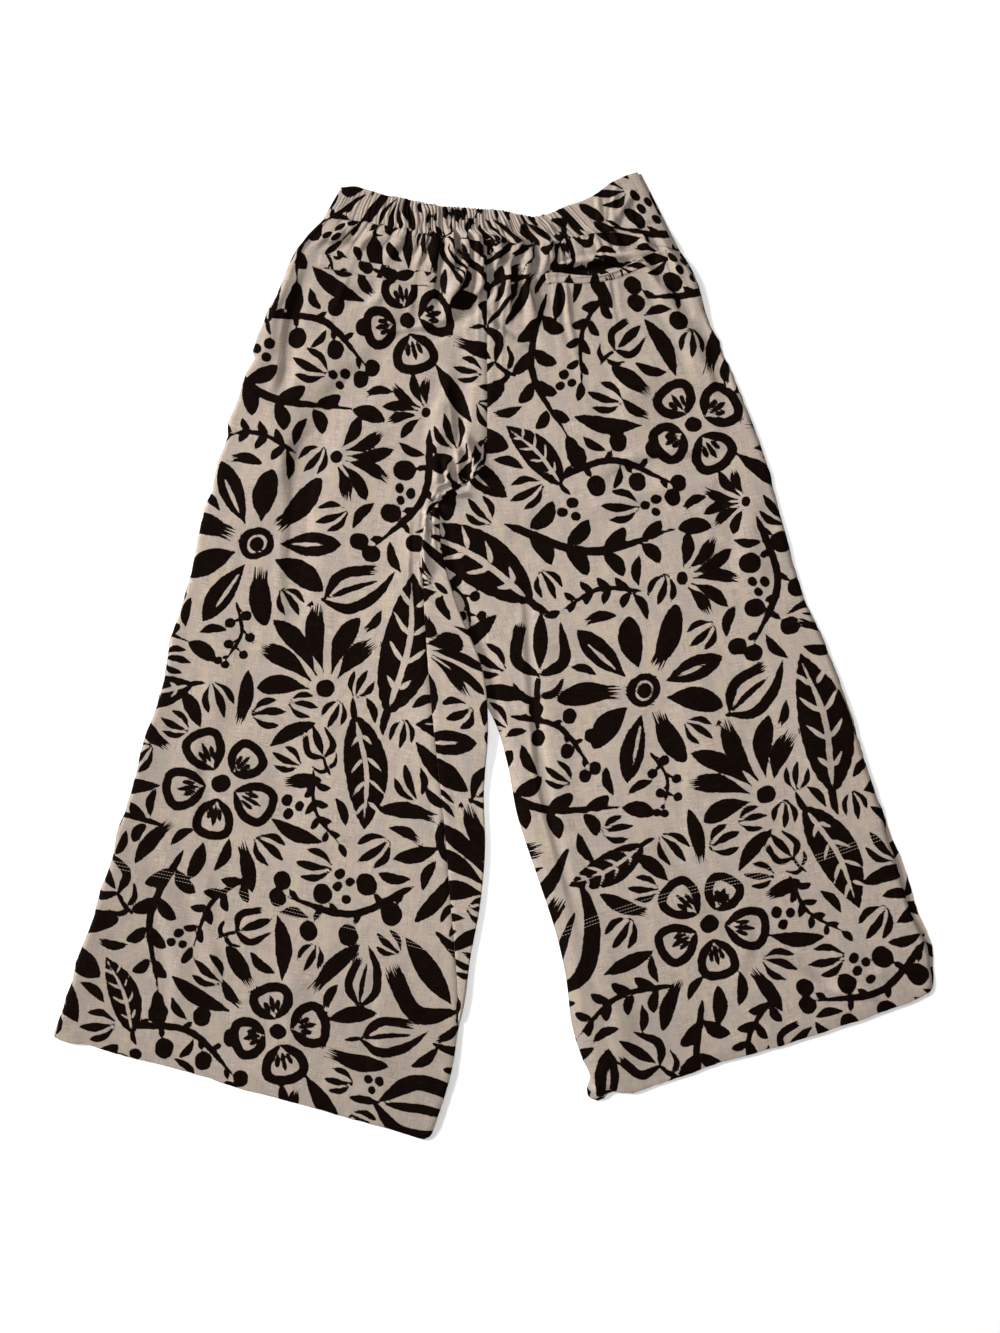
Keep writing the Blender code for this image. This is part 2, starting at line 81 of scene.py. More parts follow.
# Rise, from the waist to the crotch: left side seam x, y; centre seam x, y; right side edge x, y; how far the
# front shows past the back at the right
RISE = (
    (-172, 435, -8, 414, 185, 403, 4), (-186, 419, -8, 397, 193, 391, 3), (-203, 395, -8, 370, 204, 367, 1),
    (-223, 345, -8, 325, 216, 325, 0.5), (-240, 295, -8, 277, 238, 277, 0.5),
    (-261, 245, -8, 231, 258, 231, 0.5), (-275, 195, -11, 189, 273, 191, 0.5),
    (-282, 168, -34, 168, 279, 167, 0.5),
)
LEFT_RISE = [(x, y, cx, cy, cx, cy, 0, cx) for x, y, cx, cy, _, _, _ in RISE] + [LEFT_LEG[0]]
RIGHT_RISE = [(cx, cy, x, y, peek, 0, -16) for _, _, cx, cy, x, y, peek in RISE] + [RIGHT_LEG[0]]

# Folds placed on the back: half width, height, skew (one side steeper), then their line: x, y, x, y
FOLDS = (
    # left side and hip
    (7, -3.2, 0.35, -185, 403, -199, 350, -204, 320, -211, 285, -224, 240),
    (8, 2.8, 0.2, -199, 398, -217, 350, -226, 318, -236, 280),
    (15, -2.2, 0.3, -85, 315, -120, 286, -166, 248, -192, 190, -200, 130),
    (11, -3.4, 0.3, -195, 240, -199, 165, -200, 90, -201, 5),
    (22, 3.2, -0.3, -103, 325, -160, 290, -207, 250, -222, 170, -227, 95),
    (26, 1.2, 0.2, -150, 215, -160, 150, -160, 60),
    # beside the centre back seam
    (9, -2.6, 0, -28, 305, -36, 255, -43, 215, -55, 159), (12, 2.8, 0.4, -44, 300, -54, 240, -66, 190),
    (13, 1.7, 0, -21, 355, -18, 290, -19, 235, -37, 177),
    # below the waist, left and right
    (6, 3.6, 0.3, -184, 410, -162, 419, -136, 428), (6, 3.6, -0.3, -138, 416, -112, 417, -86, 408, -70, 398),
    (5, -3, 0.2, -172, 402, -145, 408, -110, 405, -80, 394), (3.4, 4.2, -0.4, 133, 436, 146, 416, 158, 400),
    (3.6, 3.6, 0.4, 108, 434, 118, 414, 126, 398), (4, 3.4, 0.3, 158, 424, 172, 400, 188, 368),
    (6, -3.2, 0, 146, 408, 160, 388, 174, 370, 190, 350),
    # gathered middle of the waist
    (2.8, -3, 0, -46, 432, -53, 402, -57, 378, -57, 362, -52, 338),
    (7, 4.6, 0.3, -45, 440, -48, 398, -47, 368, -50, 338), (3.2, -6, 0, -41, 436, -40, 398, -38, 368),
    (4.6, 8.4, -0.4, -30, 440, -32, 398, -36, 376, -43, 356, -47, 328),
    (3.5, -4, 0, -27, 384, -27, 362, -29, 334), (4.2, 7.5, 0.3, -20, 438, -20, 398, -18, 372, -20, 336),
    (2.4, -3.6, 0, -12, 434, -13, 392, -17, 368, -18, 345),
    (5.2, 7.8, 0.4, -6, 444, -3, 402, -1, 376, -5, 346), (3.6, -7.5, 0, 6, 438, 7, 404, 7, 388, 4, 374),
    (4.8, 10, -0.4, 38, 440, 18, 407, 12, 394, 11, 378, 13, 354, 12, 324),
    (2.8, 4.4, 0.5, 14, 384, 3, 375, -8, 366), (4, -4.6, 0, 22, 396, 22, 376, 20, 348),
    (2.4, -4.4, 0, 39, 434, 37, 398, 34, 378), (5.6, 6.5, 0.3, 48, 440, 47, 400, 43, 372),
    (5, 5.4, -0.3, 31, 412, 28, 386, 31, 360, 44, 322),
    # end of the rise
    (24, 2.6, 0, -44, 240, -44, 205, -46, 160), (4.5, -4, 0.3, -41, 275, -39, 245, -37, 225, -32, 204),
    (4, 8, 0.3, -33, 224, -26, 207, -21, 192, -22, 176, -26, 164),
    (3.6, -7, 0, -35, 210, -31, 192, -30, 178, -31, 164), (4.2, 6, 0.3, -50, 200, -48, 184, -48, 168),
    (3, -6, 0, -44, 192, -41, 178, -40, 164), (3.6, 4, -0.3, -61, 196, -57, 180, -55, 166),
    # pinched crotch and its knot
    (2.8, -9, 0, -60, 162, -51, 166, -40, 167.5, -26, 165),
    (2.6, 6, 0.3, -58, 157, -48, 161, -38, 162, -22, 158), (4.4, 9, 0.2, -65, 160, -58, 157, -51, 154),
    (1.9, -5, 0, -66, 148, -59, 149, -50, 150),
    # fork of the legs
    (3.2, 6, 0.3, -68, 158, -70, 130, -70, 100, -68, 60), (3, 5, -0.3, -58, 160, -60, 136, -59, 112, -55, 90),
    (2.4, -5, 0, -64, 152, -65, 130, -64, 108), (2.2, -3, 0, -74, 141, -66, 136, -57, 134),
    (2, -2.4, 0, -76, 129, -68, 126, -60, 119), (2, -2, 0, -74, 117, -68, 116, -62, 112),
    (4, -3, 0, -78, 148, -80, 110, -80, 80, -76, 40),
    # mouth of the right pocket
    (5.5, -8, 0, 58, 380, 80, 384, 102, 386, 124, 389, 146, 393),
    (4.6, 4.2, -0.5, 50, 386, 78, 391, 102, 397, 130, 399, 158, 401),
    (4.5, 2.2, 0.3, 24, 370, 40, 374, 56, 374),
    # right seat, inner edge and hip
    (12, -5.2, -0.4, 95, 176, 140, 184, 185, 190, 240, 208), (19, 3, 0.2, 132, 300, 136, 255, 124, 212),
    (13, -1.4, 0, 226, 205, 233, 135, 230, 55), (15, 2.3, 0.3, 70, 142, 120, 158, 170, 165, 215, 170),
    (18, -1.4, 0, 10, 125, 35, 118, 62, 126), (14, 1.8, -0.2, 252, 190, 257, 120, 262, 50),
    (5, -2.8, 0.3, 28, 112, 31, 50, 33, -5, 40, -70, 50, -140, 76, -245, 88, -305),
    (12, 1.3, 0, 42, 80, 48, -10, 57, -90, 70, -160, 96, -270),
    (8, -3, 0, 172, 392, 190, 352, 208, 318, 226, 276, 238, 236),
    (9, 2.6, 0.3, 154, 392, 172, 350, 190, 312, 213, 265), (7, 1.6, -0.2, 186, 372, 199, 335, 215, 290),
    # beside the pockets
    (7, -3.6, 0.3, -150, 350, -130, 359, -108, 366), (9, -2, 0.2, -106, 318, -92, 330, -74, 338, -58, 336),
    (9, -2.4, -0.2, 20, 326, 32, 314, 44, 304),
    # left leg
    (7, -1.5, 0.2, -288, -60, -291, -130, -296, -196), (22, 1.6, -0.3, -100, 118, -96, 70, -94, 10, -88, -85),
    (10, -1.3, 0, -70, 92, -60, 78, -58, 62), (8, 1.2, 0.3, -58, -120, -52, -165, -47, -205),
    (24, 1.3, 0.2, -165, -45, -171, -120, -177, -225), (20, -1.3, 0, -205, -60, -215, -140, -225, -215),
    (18, 1.7, -0.2, -262, 60, -278, -30, -300, -140),
    # hem of the left leg
    (10, 1.5, 0.3, -333, -180, -327, -250, -320, -335, -322, -395),
    (9, 1.2, -0.3, -292, -200, -286, -275, -282, -350),
    (10, 1.3, 0.3, -106, -290, -110, -345, -118, -400, -120, -455),
    (13, 1.5, 0, -205, -268, -203, -330, -208, -400),
    # hem and outer corner of the right leg
    (10, 1.3, -0.3, 253, -228, 248, -285, 240, -340), (7, 3.4, 0.4, 318, -318, 350, -334, 388, -346),
    (5, -3.2, 0.2, 262, -298, 300, -312, 345, -330, 384, -343),
    (10, -1.7, 0.2, 136, -160, 190, -222, 242, -278, 288, -306),
    (7, 1.5, -0.2, 325, -300, 362, -312, 402, -322),
    # right leg
    (23, 1.3, 0.2, 195, 15, 205, -70, 217, -185), (18, -1.3, 0, 160, -20, 168, -110, 182, -215),
    (17, 1.8, -0.2, 292, 20, 312, -60, 335, -150),
    # curled inner corner of the right hem
    (11, 1.8, 0.2, 108, -300, 120, -360, 134, -420), (6.5, 6.5, 0, 97, -429, 101, -435, 108, -438),
    (2.8, -4.5, 0, 90, -420, 103, -422, 112, -428, 118, -436),
)
# Creases pressed across the gathers below the waist
DEEP_FOLDS = (
    (7, -7, 0.5, 14, 410, -2, 380, -22, 352, -48, 328),
    (7, -4.8, 0.5, -34, 338, -62, 325, -90, 318, -120, 313),
    (8, -4.4, 0.4, -22, 358, 6, 334, 28, 318, 50, 302),
)
# Creases of the band where it spreads at the side
BAND_FOLDS = (
    (3.6, 3, 0.4, 110, 415, 124, 438, 142, 470), (3, 2.4, -0.3, 111, 415, 117, 440, 121, 476),
    (3, 1.8, 0, 102, 418, 104, 440, 102, 466), (3.6, 2.4, 0.3, 112, 417, 138, 428, 166, 438),
    (2.6, -1.6, 0, 136, 452, 142, 434, 149, 412),
)
# Pressed creases of the underside, low so that it still lies flat
UNDER_FOLDS = (
    (12, 0.8, 0.2, -90, 330, -150, 250, -190, 150), (14, 0.7, -0.2, -160, 120, -175, 0, -200, -130),
    (10, 0.8, 0.2, -250, -210, -255, -290, -262, -390), (10, 0.6, 0, -110, 60, -105, -60, -100, -170),
    (12, 0.8, -0.2, 90, 350, 130, 260, 150, 180), (14, 0.7, 0.2, 180, 120, 210, 10, 240, -110),
    (10, 0.8, -0.2, 260, -200, 265, -270, 270, -350), (10, 0.6, 0, 70, 60, 90, -60, 120, -190),
    (8, 0.6, 0, -20, 350, -24, 270, -30, 190),
)

# Line of the hem's stitching: x, y; and how far its three rows lie from that line
LEFT_STITCH = (
    (-384, -208), (-372, -211), (-308, -224), (-258, -238), (-206, -256), (-140, -271), (-84, -287),
    (-27, -303),
)
RIGHT_STITCH = (
    (62, -279), (70, -276), (124, -256), (188, -237), (254, -222), (288, -212), (328, -201), (389, -180),
)
STITCH_ROWS = (-3.3, 0.0, 3.3)

# Pocket welts: lower edge centre end x, y; lower edge side end x, y; height; lift of the open edge;
# how far the middle of the lower and of the upper edge sags; thickness
WELTS = (
    ("welt_left", -60, 366, -177, 387, 14, 0.1, 0, 0, 0.55),
    ("welt_right", 52, 369, 173, 393, 12, 3.2, 7, 13, 0.9),
)

# How far the edges stray outward from their drawn lines: place along Y for sides and X for hems, mm
LEFT_SIDE_STRAY = (
    (-390, 4), (-372, 4), (-352, 1.5), (-341, 3.5), (-325, 1), (-308, 3.5), (-285, 1), (-262, 0), (-236, 2.5),
    (-212, 0.5), (-197, 1), (-179, 4), (-155, 1.5), (-115, 1), (-98, 4), (-76, 3), (-62, 0), (-25, -1.5),
    (-5, 0), (17, 3.5), (40, 0.5), (88, -1.5), (110, 0), (131, 1.5), (147, 3.5), (163, -0.5), (192, 1.5),
    (218, -1.5), (231, 1.5), (258, 0), (283, 4), (297, 1), (304, 5.5), (322, 5.5), (332, 4), (346, 4),
    (360, 0), (412, 1.5),
)
RIGHT_SIDE_STRAY = (
    (-309, 0), (-291, 2.5), (-274, 2), (-258, 0), (-232, 1), (-200, 2), (-180, 1), (-150, 0), (-118, -2.5),
    (-80, -3.5), (-55, -2), (-20, 0), (200, -1), (240, -0.5), (272, 0.5), (290, 2), (299, 1), (314, 4),
    (330, 0.5),
)
LEFT_HEM_STRAY = (
    (-440, 1), (-424, 1), (-412, -2), (-360, -0.5), (-334, -2.5), (-290, -1.5), (-258, 0.5), (-180, 0),
    (-66, 1.5),
)
RIGHT_HEM_STRAY = (
    (90, 2.5), (100, 4), (108, 2.5), (114, -2.5), (118, -3), (126, 1), (137, 4), (148, 3), (165, 1.5),
    (196, 0), (222, -2), (250, -1), (290, 1), (330, 2.5), (370, 4), (400, 5.5), (438, 6.5),
)
RIGHT_INNER_STRAY = (
    (-446, 0), (-438, 1.5), (-431, 0.5), (-426, -3), (-421, -6), (-415, -5.5), (-405, -2.5), (-385, -0.5),
    (-365, 0),
)
# Share of the elastic's pull along the waist: x, share
PULL = (
    (-175, 0.3), (-145, 0.34), (-112, 0.55), (-88, 1), (50, 1), (72, 0.78), (96, 0.42), (114, 0.1),
    (185, 0.04),
)
# Painted light and shade on the ground: a paler pool of light over the seat, painted shade towards the hems,
# along the left side, over the band and in the gathered waist: x, y, reach, reach, change
PAINTED_LIGHT_AND_SHADE = (
    (-115, 60, 240, 330, 0.06), (-375, -170, 80, 240, -0.16), (-333, -50, 20, 60, -0.16),
    (-353, -125, 18, 50, -0.18), (-372, -195, 16, 45, -0.16), (-400, -290, 18, 60, -0.22),
    (-418, -350, 18, 35, -0.14), (-226, 315, 14, 60, -0.16), (-410, -310, 34, 80, -0.06),
    (-85, -430, 95, 130, -0.22), (120, -400, 95, 120, -0.14), (85, -270, 45, 100, -0.1),
    (-240, 320, 50, 110, -0.12), (0, 470, 300, 70, -0.05), (0, 385, 70, 45, -0.14),
)

# Heights: resting level of the front and of the back, and loft of the back above that
FRONT_LEVEL, BACK_LEVEL, LOFT = 0.45, 1.7, 2.0
# Extra height of the doubled hem, drop of the back at its edges, step down to the flat ends of the band,
# height above which folds are rounded off
HEM_EXTRA, EDGE_DROP, BAND_STEP, FOLD_SOFT = 0.16, 1.15, 1.0, 8.5
# Widths over which the cloth settles at its edges, lifts over the other leg or follows the waist
SIDE_SETTLE = 5.0
HEM_SETTLE = 16.0
INNER_SETTLE = 14.0
HEM_REACH = 34.0
LIFT_SPREAD = 42.0
RAMP_WIDTH = 10.0
WAIST_BLEND = 110.0
# Sideways lean of steep folds; painted shade darkening the ground inside creases
LEAN = 0.62
CREASE_PAINTED_SHADE = 0.36
# Turned edge of the hems: how far it goes inside, and its rows
RETURN_DEPTH = 14.0
RETURN_STEPS = 6
# Turn of the grain of each leg, degrees
LEFT_GRAIN = -10.5
RIGHT_GRAIN = 13.5
# Grid of the sheets: columns, and distance between rows
BACK_COLUMNS, BACK_STEP = 190, 2.0
FRONT_COLUMNS, FRONT_STEP = 120, 2.6
BAND_BACK_COLUMNS, BAND_BACK_ROWS = 900, 44
BAND_FRONT_COLUMNS, BAND_FRONT_ROWS = 200, 16
FOLD_STEPS, STRIP_STEPS, RAMP_STEPS, SHELF_STEPS = 9, 26, 8, 8
WELT_ROWS = 20
# Middle height of the gathered band; y above which the two legs are sewn together
BAND_LEVEL = 2.7
CROTCH_Y = 151
# Stitches: length, distance from one to the next, half width, sides, and share of that width from end to end
STITCH_LONG, STITCH_PITCH, STITCH_THICK, STITCH_SIDES = 2.1, 2.9, 0.24, 6
STITCH_RINGS = ((0.0, 0.35), (0.18, 0.9), (0.5, 1.0), (0.82, 0.9), (1.0, 0.35))

# ---------------------------------------------------------------- numeric helpers


def smooth(value):
    """Ease from 0 to 1."""
    value = np.clip(value, 0.0, 1.0)
    return value * value * (3.0 - 2.0 * value)


def bell(distance, reach, power=2):
    """Fall-off from 1 to 0 over a reach."""
    return np.exp(-(distance / reach) ** power)


def at(place, table):
    """Value of a two-column table at a place."""
    return np.interp(place, *zip(*table))


def hermite(a, b, slope_a, slope_b, t):
    """Curve from a to b with the slopes given at its ends."""
    return (a * (1 + 2 * t) * (1 - t) ** 2 + b * t * t * (3 - 2 * t)
            + slope_a * t * (1 - t) ** 2 + slope_b * t * t * (t - 1))


def smooth_path(points, count):
    """Even samples of a curve through the points."""
    p = np.array(points, float)
    d = np.gradient(p, axis=0) if len(p) > 2 else np.tile(p[1] - p[0], (2, 1))
    t = np.linspace(0, len(p) - 1, count)
    i = np.minimum(t.astype(int), len(p) - 2)
    return hermite(p[i], p[i + 1], d[i], d[i + 1], (t - i)[:, None])


def stations(table, step):
    """Rows of values through the table, about step mm apart, every table row among them."""
    values = np.array(table, float)
    slopes = np.gradient(values, axis=0)
    middle = (values[:, 0:2] + values[:, 2:4]) / 2
    rows = []
    for i in range(len(values) - 1):
        count = max(1, int(round(np.hypot(*(middle[i + 1] - middle[i])) / step)))
        t = (np.arange(count) / count)[:, None]
        rows.append(hermite(values[i], values[i + 1], slopes[i], slopes[i + 1], t))
    return np.vstack(rows + [values[-1:]])


def noise(x, y, cell, seed):
    """Smooth value noise from -1 to 1, with features about one cell wide."""
    values = np.random.RandomState(seed).uniform(-1, 1, (97, 89))
    gx, gy = x / cell + 500.0, y / cell + 500.0
    ix, iy = np.floor(gx).astype(int), np.floor(gy).astype(int)
    fx, fy = smooth(gx - ix), smooth(gy - iy)
    near, far = (values[ix % 97, j % 89] * (1 - fx) + values[(ix + 1) % 97, j % 89] * fx
                 for j in (iy, iy + 1))
    return near * (1 - fy) + far * fy


def stray(place, table, seed):
    """Offset of an edge from its table, with fine unevenness."""
    fine = 0.45 * noise(place, 0 * place, 13.0, seed) + 0.35 * noise(place, 0 * place, 5.5, seed + 1)
    return at(place, table) + fine


def corner(to_hem, radius):
    """How far a side edge draws in near the hem so that the corner is round."""
    t = np.clip(1.0 - to_hem / radius, 0.0, 1.0)
    return radius * (1.0 - np.sqrt(1.0 - t * t))


def row_distance(x, y):
    """Distance of each row from the last one."""
    return np.append(np.cumsum(np.hypot(np.diff(x), np.diff(y))[::-1])[::-1], 0.0)


def panel_rows(rise, leg, step, side, table, seed):
    """Rise and leg rows joined at the crotch; distance of the side edge from the hem, and its stray."""
    rows = np.vstack([stations(rise, step)[:-1], stations(leg, step)])
    to_hem = row_distance(rows[:, side], rows[:, side + 1])
    return rows, to_hem, smooth((to_hem[0] - to_hem) / 25.0) * stray(rows[:, side + 1], table, seed)


def left_rows(step):
    """Rows of the left leg with its strayed side edge and rounded corners."""
    rows, to_hem, moved = panel_rows(LEFT_RISE, LEFT_LEG, step, 0, LEFT_SIDE_STRAY, 41)
    rows[:, 0] += corner(to_hem, 6.0) - moved
    rows[:, (2, 4)] -= corner(to_hem, 6.0)[:, None]
    return rows


def right_rows(step):
    """Rows of the right leg with its strayed edges and rounded corners."""
    rows, to_hem, moved = panel_rows(RIGHT_RISE, RIGHT_LEG, step, 2, RIGHT_SIDE_STRAY, 43)
    rows[:, 2] += moved - corner(to_hem, 9.0)
    rows[:, 0] += corner(row_distance(rows[:, 0], rows[:, 1]), 7.0)
    rows[:, 0] -= at(rows[:, 1], RIGHT_INNER_STRAY)
    return rows


def leg_direction(x, y):
    """Direction of each column towards the hem, read above the rounded corners."""
    dx, dy = x[-7] - x[-14], y[-7] - y[-14]
    size = np.hypot(dx, dy)
    return dx / size, dy / size


def hem_stray(x, y, table):
    """Last rows moved along the leg so that the hem strays from its line; distance of rows from the hem."""
    middle = x.shape[1] // 3
    to_hem = row_distance(x[:, middle], y[:, middle])[:, None]
    dx, dy = leg_direction(x, y)
    move = stray(x[-1], table, 47) * np.clip(1 - to_hem / HEM_REACH, 0, 1) ** 1.5
    return x + move * dx, y + move * dy, to_hem


def rounded(distance):
    """Share of the loft at a distance from a free edge, round like the edge of a coin."""
    return np.sqrt(np.clip(1 - (1 - np.clip(distance / SIDE_SETTLE, 0, 1)) ** 2, 0, 1))


def eased(x, table, reach, step):
    """Height of a drawn line at x, its corners eased."""
    return np.mean([at(x + shift, table) for shift in np.arange(-reach, reach + 1.0, step)], axis=0)


def waist_y(x):
    """Height of the waist seam at x."""
    return eased(x, WAIST_SEAM, 12.0, 3.0)


def pull_at(x):
    """Share of the elastic's pull at x."""
    return at(x, PULL)


def seam_wobble(x):
    """Small waves of the waist seam where the gathers draw it."""
    fine, coarse = np.sin(x / 1.9 + 2.2 * np.sin(x / 13.0)), np.sin(x / 3.7 + 1.4 * np.sin(x / 9.0))
    return pull_at(x) * (1.1 * fine + 0.9 * coarse)


def follow_waist(x, y):
    """Bend the uppermost rows so that the first one lies on the waist seam; depth of each row."""
    middle = [x.shape[1] // 2]
    depth = np.hypot(x[:, middle] - x[0, middle], y[:, middle] - y[0, middle])
    hold = np.clip(1.0 - depth / WAIST_BLEND, 0.0, 1.0) ** 2
    return y + hold * (waist_y(x[0]) - y[0]) + bell(depth, 5.0) * seam_wobble(x[0]), depth


def path_distance(x, y, path):
    """Signed distance from a polyline and place along it from 0 to 1."""
    lengths = np.hypot(*np.diff(path, axis=0).T)
    best, signed, place = np.full(x.shape, 1e9), np.zeros(x.shape), np.zeros(x.shape)
    before = 0.0
    for a, b, length in zip(path[:-1], path[1:], lengths):
        dx, dy = b - a
        t = np.clip(((x - a[0]) * dx + (y - a[1]) * dy) / length ** 2, 0.0, 1.0)
        ox, oy = x - a[0] - t * dx, y - a[1] - t * dy
        gap = np.hypot(ox, oy)
        closer = gap < best
        best = np.where(closer, gap, best)
        signed = np.where(closer, gap * np.sign(dx * oy - dy * ox), signed)
        place = np.where(closer, (before + t * length) / lengths.sum(), place)
        before += length
    return signed, place


def fold_height(x, y, folds):
    """Sum of the listed folds: a rounded ridge or trough with a soft foot on its steep side."""
    total = np.zeros_like(x)
    for half, height, skew, *points in folds:
        path = smooth_path(np.reshape(points, (-1, 2)), 3 * len(points))
        (x0, y0), (x1, y1) = path.min(axis=0) - 3.2 * half, path.max(axis=0) + 3.2 * half
        near = (x > x0) & (x < x1) & (y > y0) & (y < y1)
        if not near.any():
            continue
        signed, place = path_distance(x[near], y[near], path)
        wander = half * 0.25 * np.sin(place * 9.0 + half + height)
        q = (signed + wander) / (half * (1 + skew * np.sign(signed + wander)))
        across = np.exp(-q * q) - 0.28 * np.exp(-((np.abs(q) - 1.9) / 0.8) ** 2) * (q * skew <= 0)
        along = smooth(place / 0.3) * smooth((1.0 - place) / 0.3)
        ends = smooth((2.2 * half - np.abs(signed)) / half)
        total[near] += height * across * along * (0.85 + 0.15 * np.sin(17 * place + half)) * ends
    return total


def gather_edges(seed, narrow, wide):
    """Uneven places along the waist where the cloth is pinched, and four random shares for each gather."""
    draw = np.random.RandomState(seed)
    edges = [-190.0]
    while edges[-1] < 205.0:
        edges.append(edges[-1] + draw.uniform(narrow, wide))
    return np.array(edges), draw.uniform(0, 1, (len(edges) - 1, 4))


PLEATS = gather_edges(11, 6.0, 15.5)
FRILLS = gather_edges(7, 2.7, 5.2)


def gather_of(place, gathers, plump=2.6):
    """Sharp and soft arch of the gather at a place (0 at its pinches, 1 in its middle), and its shares."""
    edges, shares = gathers
    i = np.clip(np.searchsorted(edges, place) - 1, 0, len(shares) - 1)
    t = np.clip((place - edges[i]) / (edges[i + 1] - edges[i]), 0.0, 1.0)
    sharp = np.maximum(1.0 - np.abs(2 * t - 1) ** plump, 0.0) ** 0.75
    return sharp, 0.5 - 0.5 * np.cos(2 * np.pi * t), shares[i]


def hidden_cloth(place, gathers, inside, between):
    """Cloth let out up to a place: so many times more along the gathers, and taken up in the pinches."""
    edges, _ = gathers
    pull = pull_at(edges)
    width = np.append(np.diff(edges), 4.0)
    pinch = 0.35
    knots = np.column_stack([edges - pinch, edges + pinch]).ravel()
    steps = np.column_stack([2 * pinch + width * between * pull, (width - 2 * pinch) * (1 + inside * pull)])
    return np.interp(place, knots, np.concatenate([[0.0], np.cumsum(steps.ravel())[:-1]]))


def welt_calm(x, y):
    """Share of the gathers left near a pocket welt, which holds the cloth flat."""
    share = np.ones_like(x)
    for _, x0, y0, x1, y1, height, *_ in WELTS:
        dx, dy = x1 - x0, y1 - y0
        t = np.clip(((x - x0) * dx + (y - y0) * dy) / (dx ** 2 + dy ** 2), 0.0, 1.0)
        gap = np.hypot(x - x0 - t * dx, y - y0 - height / 2 - t * dy)
        share = np.minimum(share, 0.25 + 0.75 * smooth((gap - height / 2) / 16.0))
    return share


def gather_height(x, y, place, depth):
    """Plump gathers running down from the waist seam and dying away, with fine wrinkles at the seam."""
    drift = depth * 0.05 * np.sin(place / 21.0 + 0.6)
    sharp, soft, share = gather_of(place + drift, PLEATS)
    strong = share[..., 0] > 0.55
    pull = pull_at(place)
    top = np.where(strong, 3.8 + 3.4 * share[..., 1], 2.0 + 2.4 * share[..., 1]) * pull
    reach = np.where(strong, 36 + 56 * share[..., 2], 14 + 24 * share[..., 2])
    arch = sharp + (soft - sharp) * smooth(depth / 45.0)
    height = top * arch * (0.5 + 0.5 * smooth(depth / 16.0)) * bell(depth, reach, 1.6)
    height += 1.1 * pull * (gather_of(place, FRILLS)[0] - 0.6) * bell(depth, 9.0, 1.5)
    return height * welt_calm(x, y)


def seam_groove(place, distance):
    """Groove along the waist seam, deep in the pinches and nearly gone on the gathers."""
    sharp, fine = gather_of(place, PLEATS)[0], gather_of(place, FRILLS)[0]
    return -(0.25 + pull_at(place) * (0.9 * (1 - sharp) + 0.6 * (1 - fine))) * bell(distance, 1.7)


def seam_relief(distance, along):
    """Groove of a seam with the slight pucker and ridge of its allowances."""
    pucker = 0.16 * np.sin(along / 2.1 + 1.5 * np.sin(along / 17.0)) * bell(distance, 5.0)
    return 0.3 * bell(distance - 6.0, 4.0) - 0.75 * bell(distance, 1.5) + pucker


def hem_relief(x, y, line):
    """Pucker and groove of the hem's stitching, and the slight step of the doubled cloth below it."""
    signed, place = path_distance(x, y, np.array(line, float))
    pucker = 0.12 * np.sin(place * 520 / 6.3) * bell(signed, 9.0) * (0.6 + 0.4 * np.sin(place * 31))
    groove = -0.10 * bell(signed, 5.0)
    return pucker + groove + HEM_EXTRA * smooth(-signed / 6.0 + 0.5)


# ---------------------------------------------------------------- print
# A generic brush-painted garden: roses, daisies, leaves, sprigs, berries, dashes.  Sizes in mm of cloth.

REPEAT_WIDE = 640.0
REPEAT_LONG = 820.0
SHIFTS = [(x, y) for x in (-REPEAT_WIDE, 0.0, REPEAT_WIDE) for y in (-REPEAT_LONG, 0.0, REPEAT_LONG)]
PRINT_SCALE = 0.88
INK = 1
BARE = -1
# Distance to a split end where a stroke has none; how far from a stroke its ink distance is kept
WET = 60.0
INK_REACH = 8.0


def brush(points, width, start=0.3, end=0.3, count=12, mode=INK, blunt=(0.12, 0.12), dry=0.0):
    """Brush stroke with its half width, tapering at start and end; dry is the length of its split end."""
    t = np.linspace(0, 1, count)
    opening = np.minimum(1, (t / start) ** 0.7 + blunt[0])
    half = width / 2 * opening * np.minimum(1, ((1 - t) / end) ** 0.7 + blunt[1])
    return mode, np.column_stack([smooth_path(points, count), np.minimum(half, width / 2)]), dry


def petal(x0, y0, x1, y1, width, bow=0.0, lead=0.5, dry=0.0, power=0.85):
    """Plump stroke from base to tip, bowed sideways, widest at lead; a dry one ends broad and split."""
    base, tip = np.array([x0, y0], float), np.array([x1, y1], float)
    side = np.array([-(tip - base)[1], (tip - base)[0]])
    path = smooth_path([base, (base + tip) / 2 + side * bow, tip], 14)
    s = np.linspace(0, 1, 14) ** (np.log(0.5) / np.log(lead))
    half = width / 2 * np.maximum(np.sin(np.pi * s), 0) ** power
    if dry:
        half = np.where(s > 0.5, np.maximum(half, width * 0.31), half)
    return INK, np.column_stack([path, np.maximum(half, 0.5)]), dry


def dot(x, y, r):
    """Round touch of the brush."""
    return INK, np.array([[x - 0.15 * r, y, r], [x + 0.15 * r, y + 0.1 * r, r * 0.95]]), 0.0


def ring(radius, width, wobble):
    """Closed uneven ring left bare."""
    a = np.linspace(0, 2 * np.pi, 28)
    r = radius * (1 + wobble * np.sin(2 * a))
    return BARE, np.column_stack([r * np.cos(a), r * np.sin(a), width / 2 * (1 + 0.25 * np.sin(2 * a))]), 0.0


def put(strokes, x, y, size, turn, flip=1):
    """Strokes moved, turned and scaled."""
    c, s = np.cos(np.radians(turn)), np.sin(np.radians(turn))
    moved = []
    for mode, path, dry in strokes:
        px, py, half = path[:, 0] * flip, path[:, 1], np.maximum(size * path[:, 2], 0.7)
        path = np.column_stack([x + size * (c * px - s * py), y + size * (s * px + c * py), half])
        moved.append((mode, path, dry * size))
    return moved


def polar(r, a):
    """Point at a distance and an angle in degrees."""
    return r * np.cos(np.radians(a)), r * np.sin(np.radians(a))


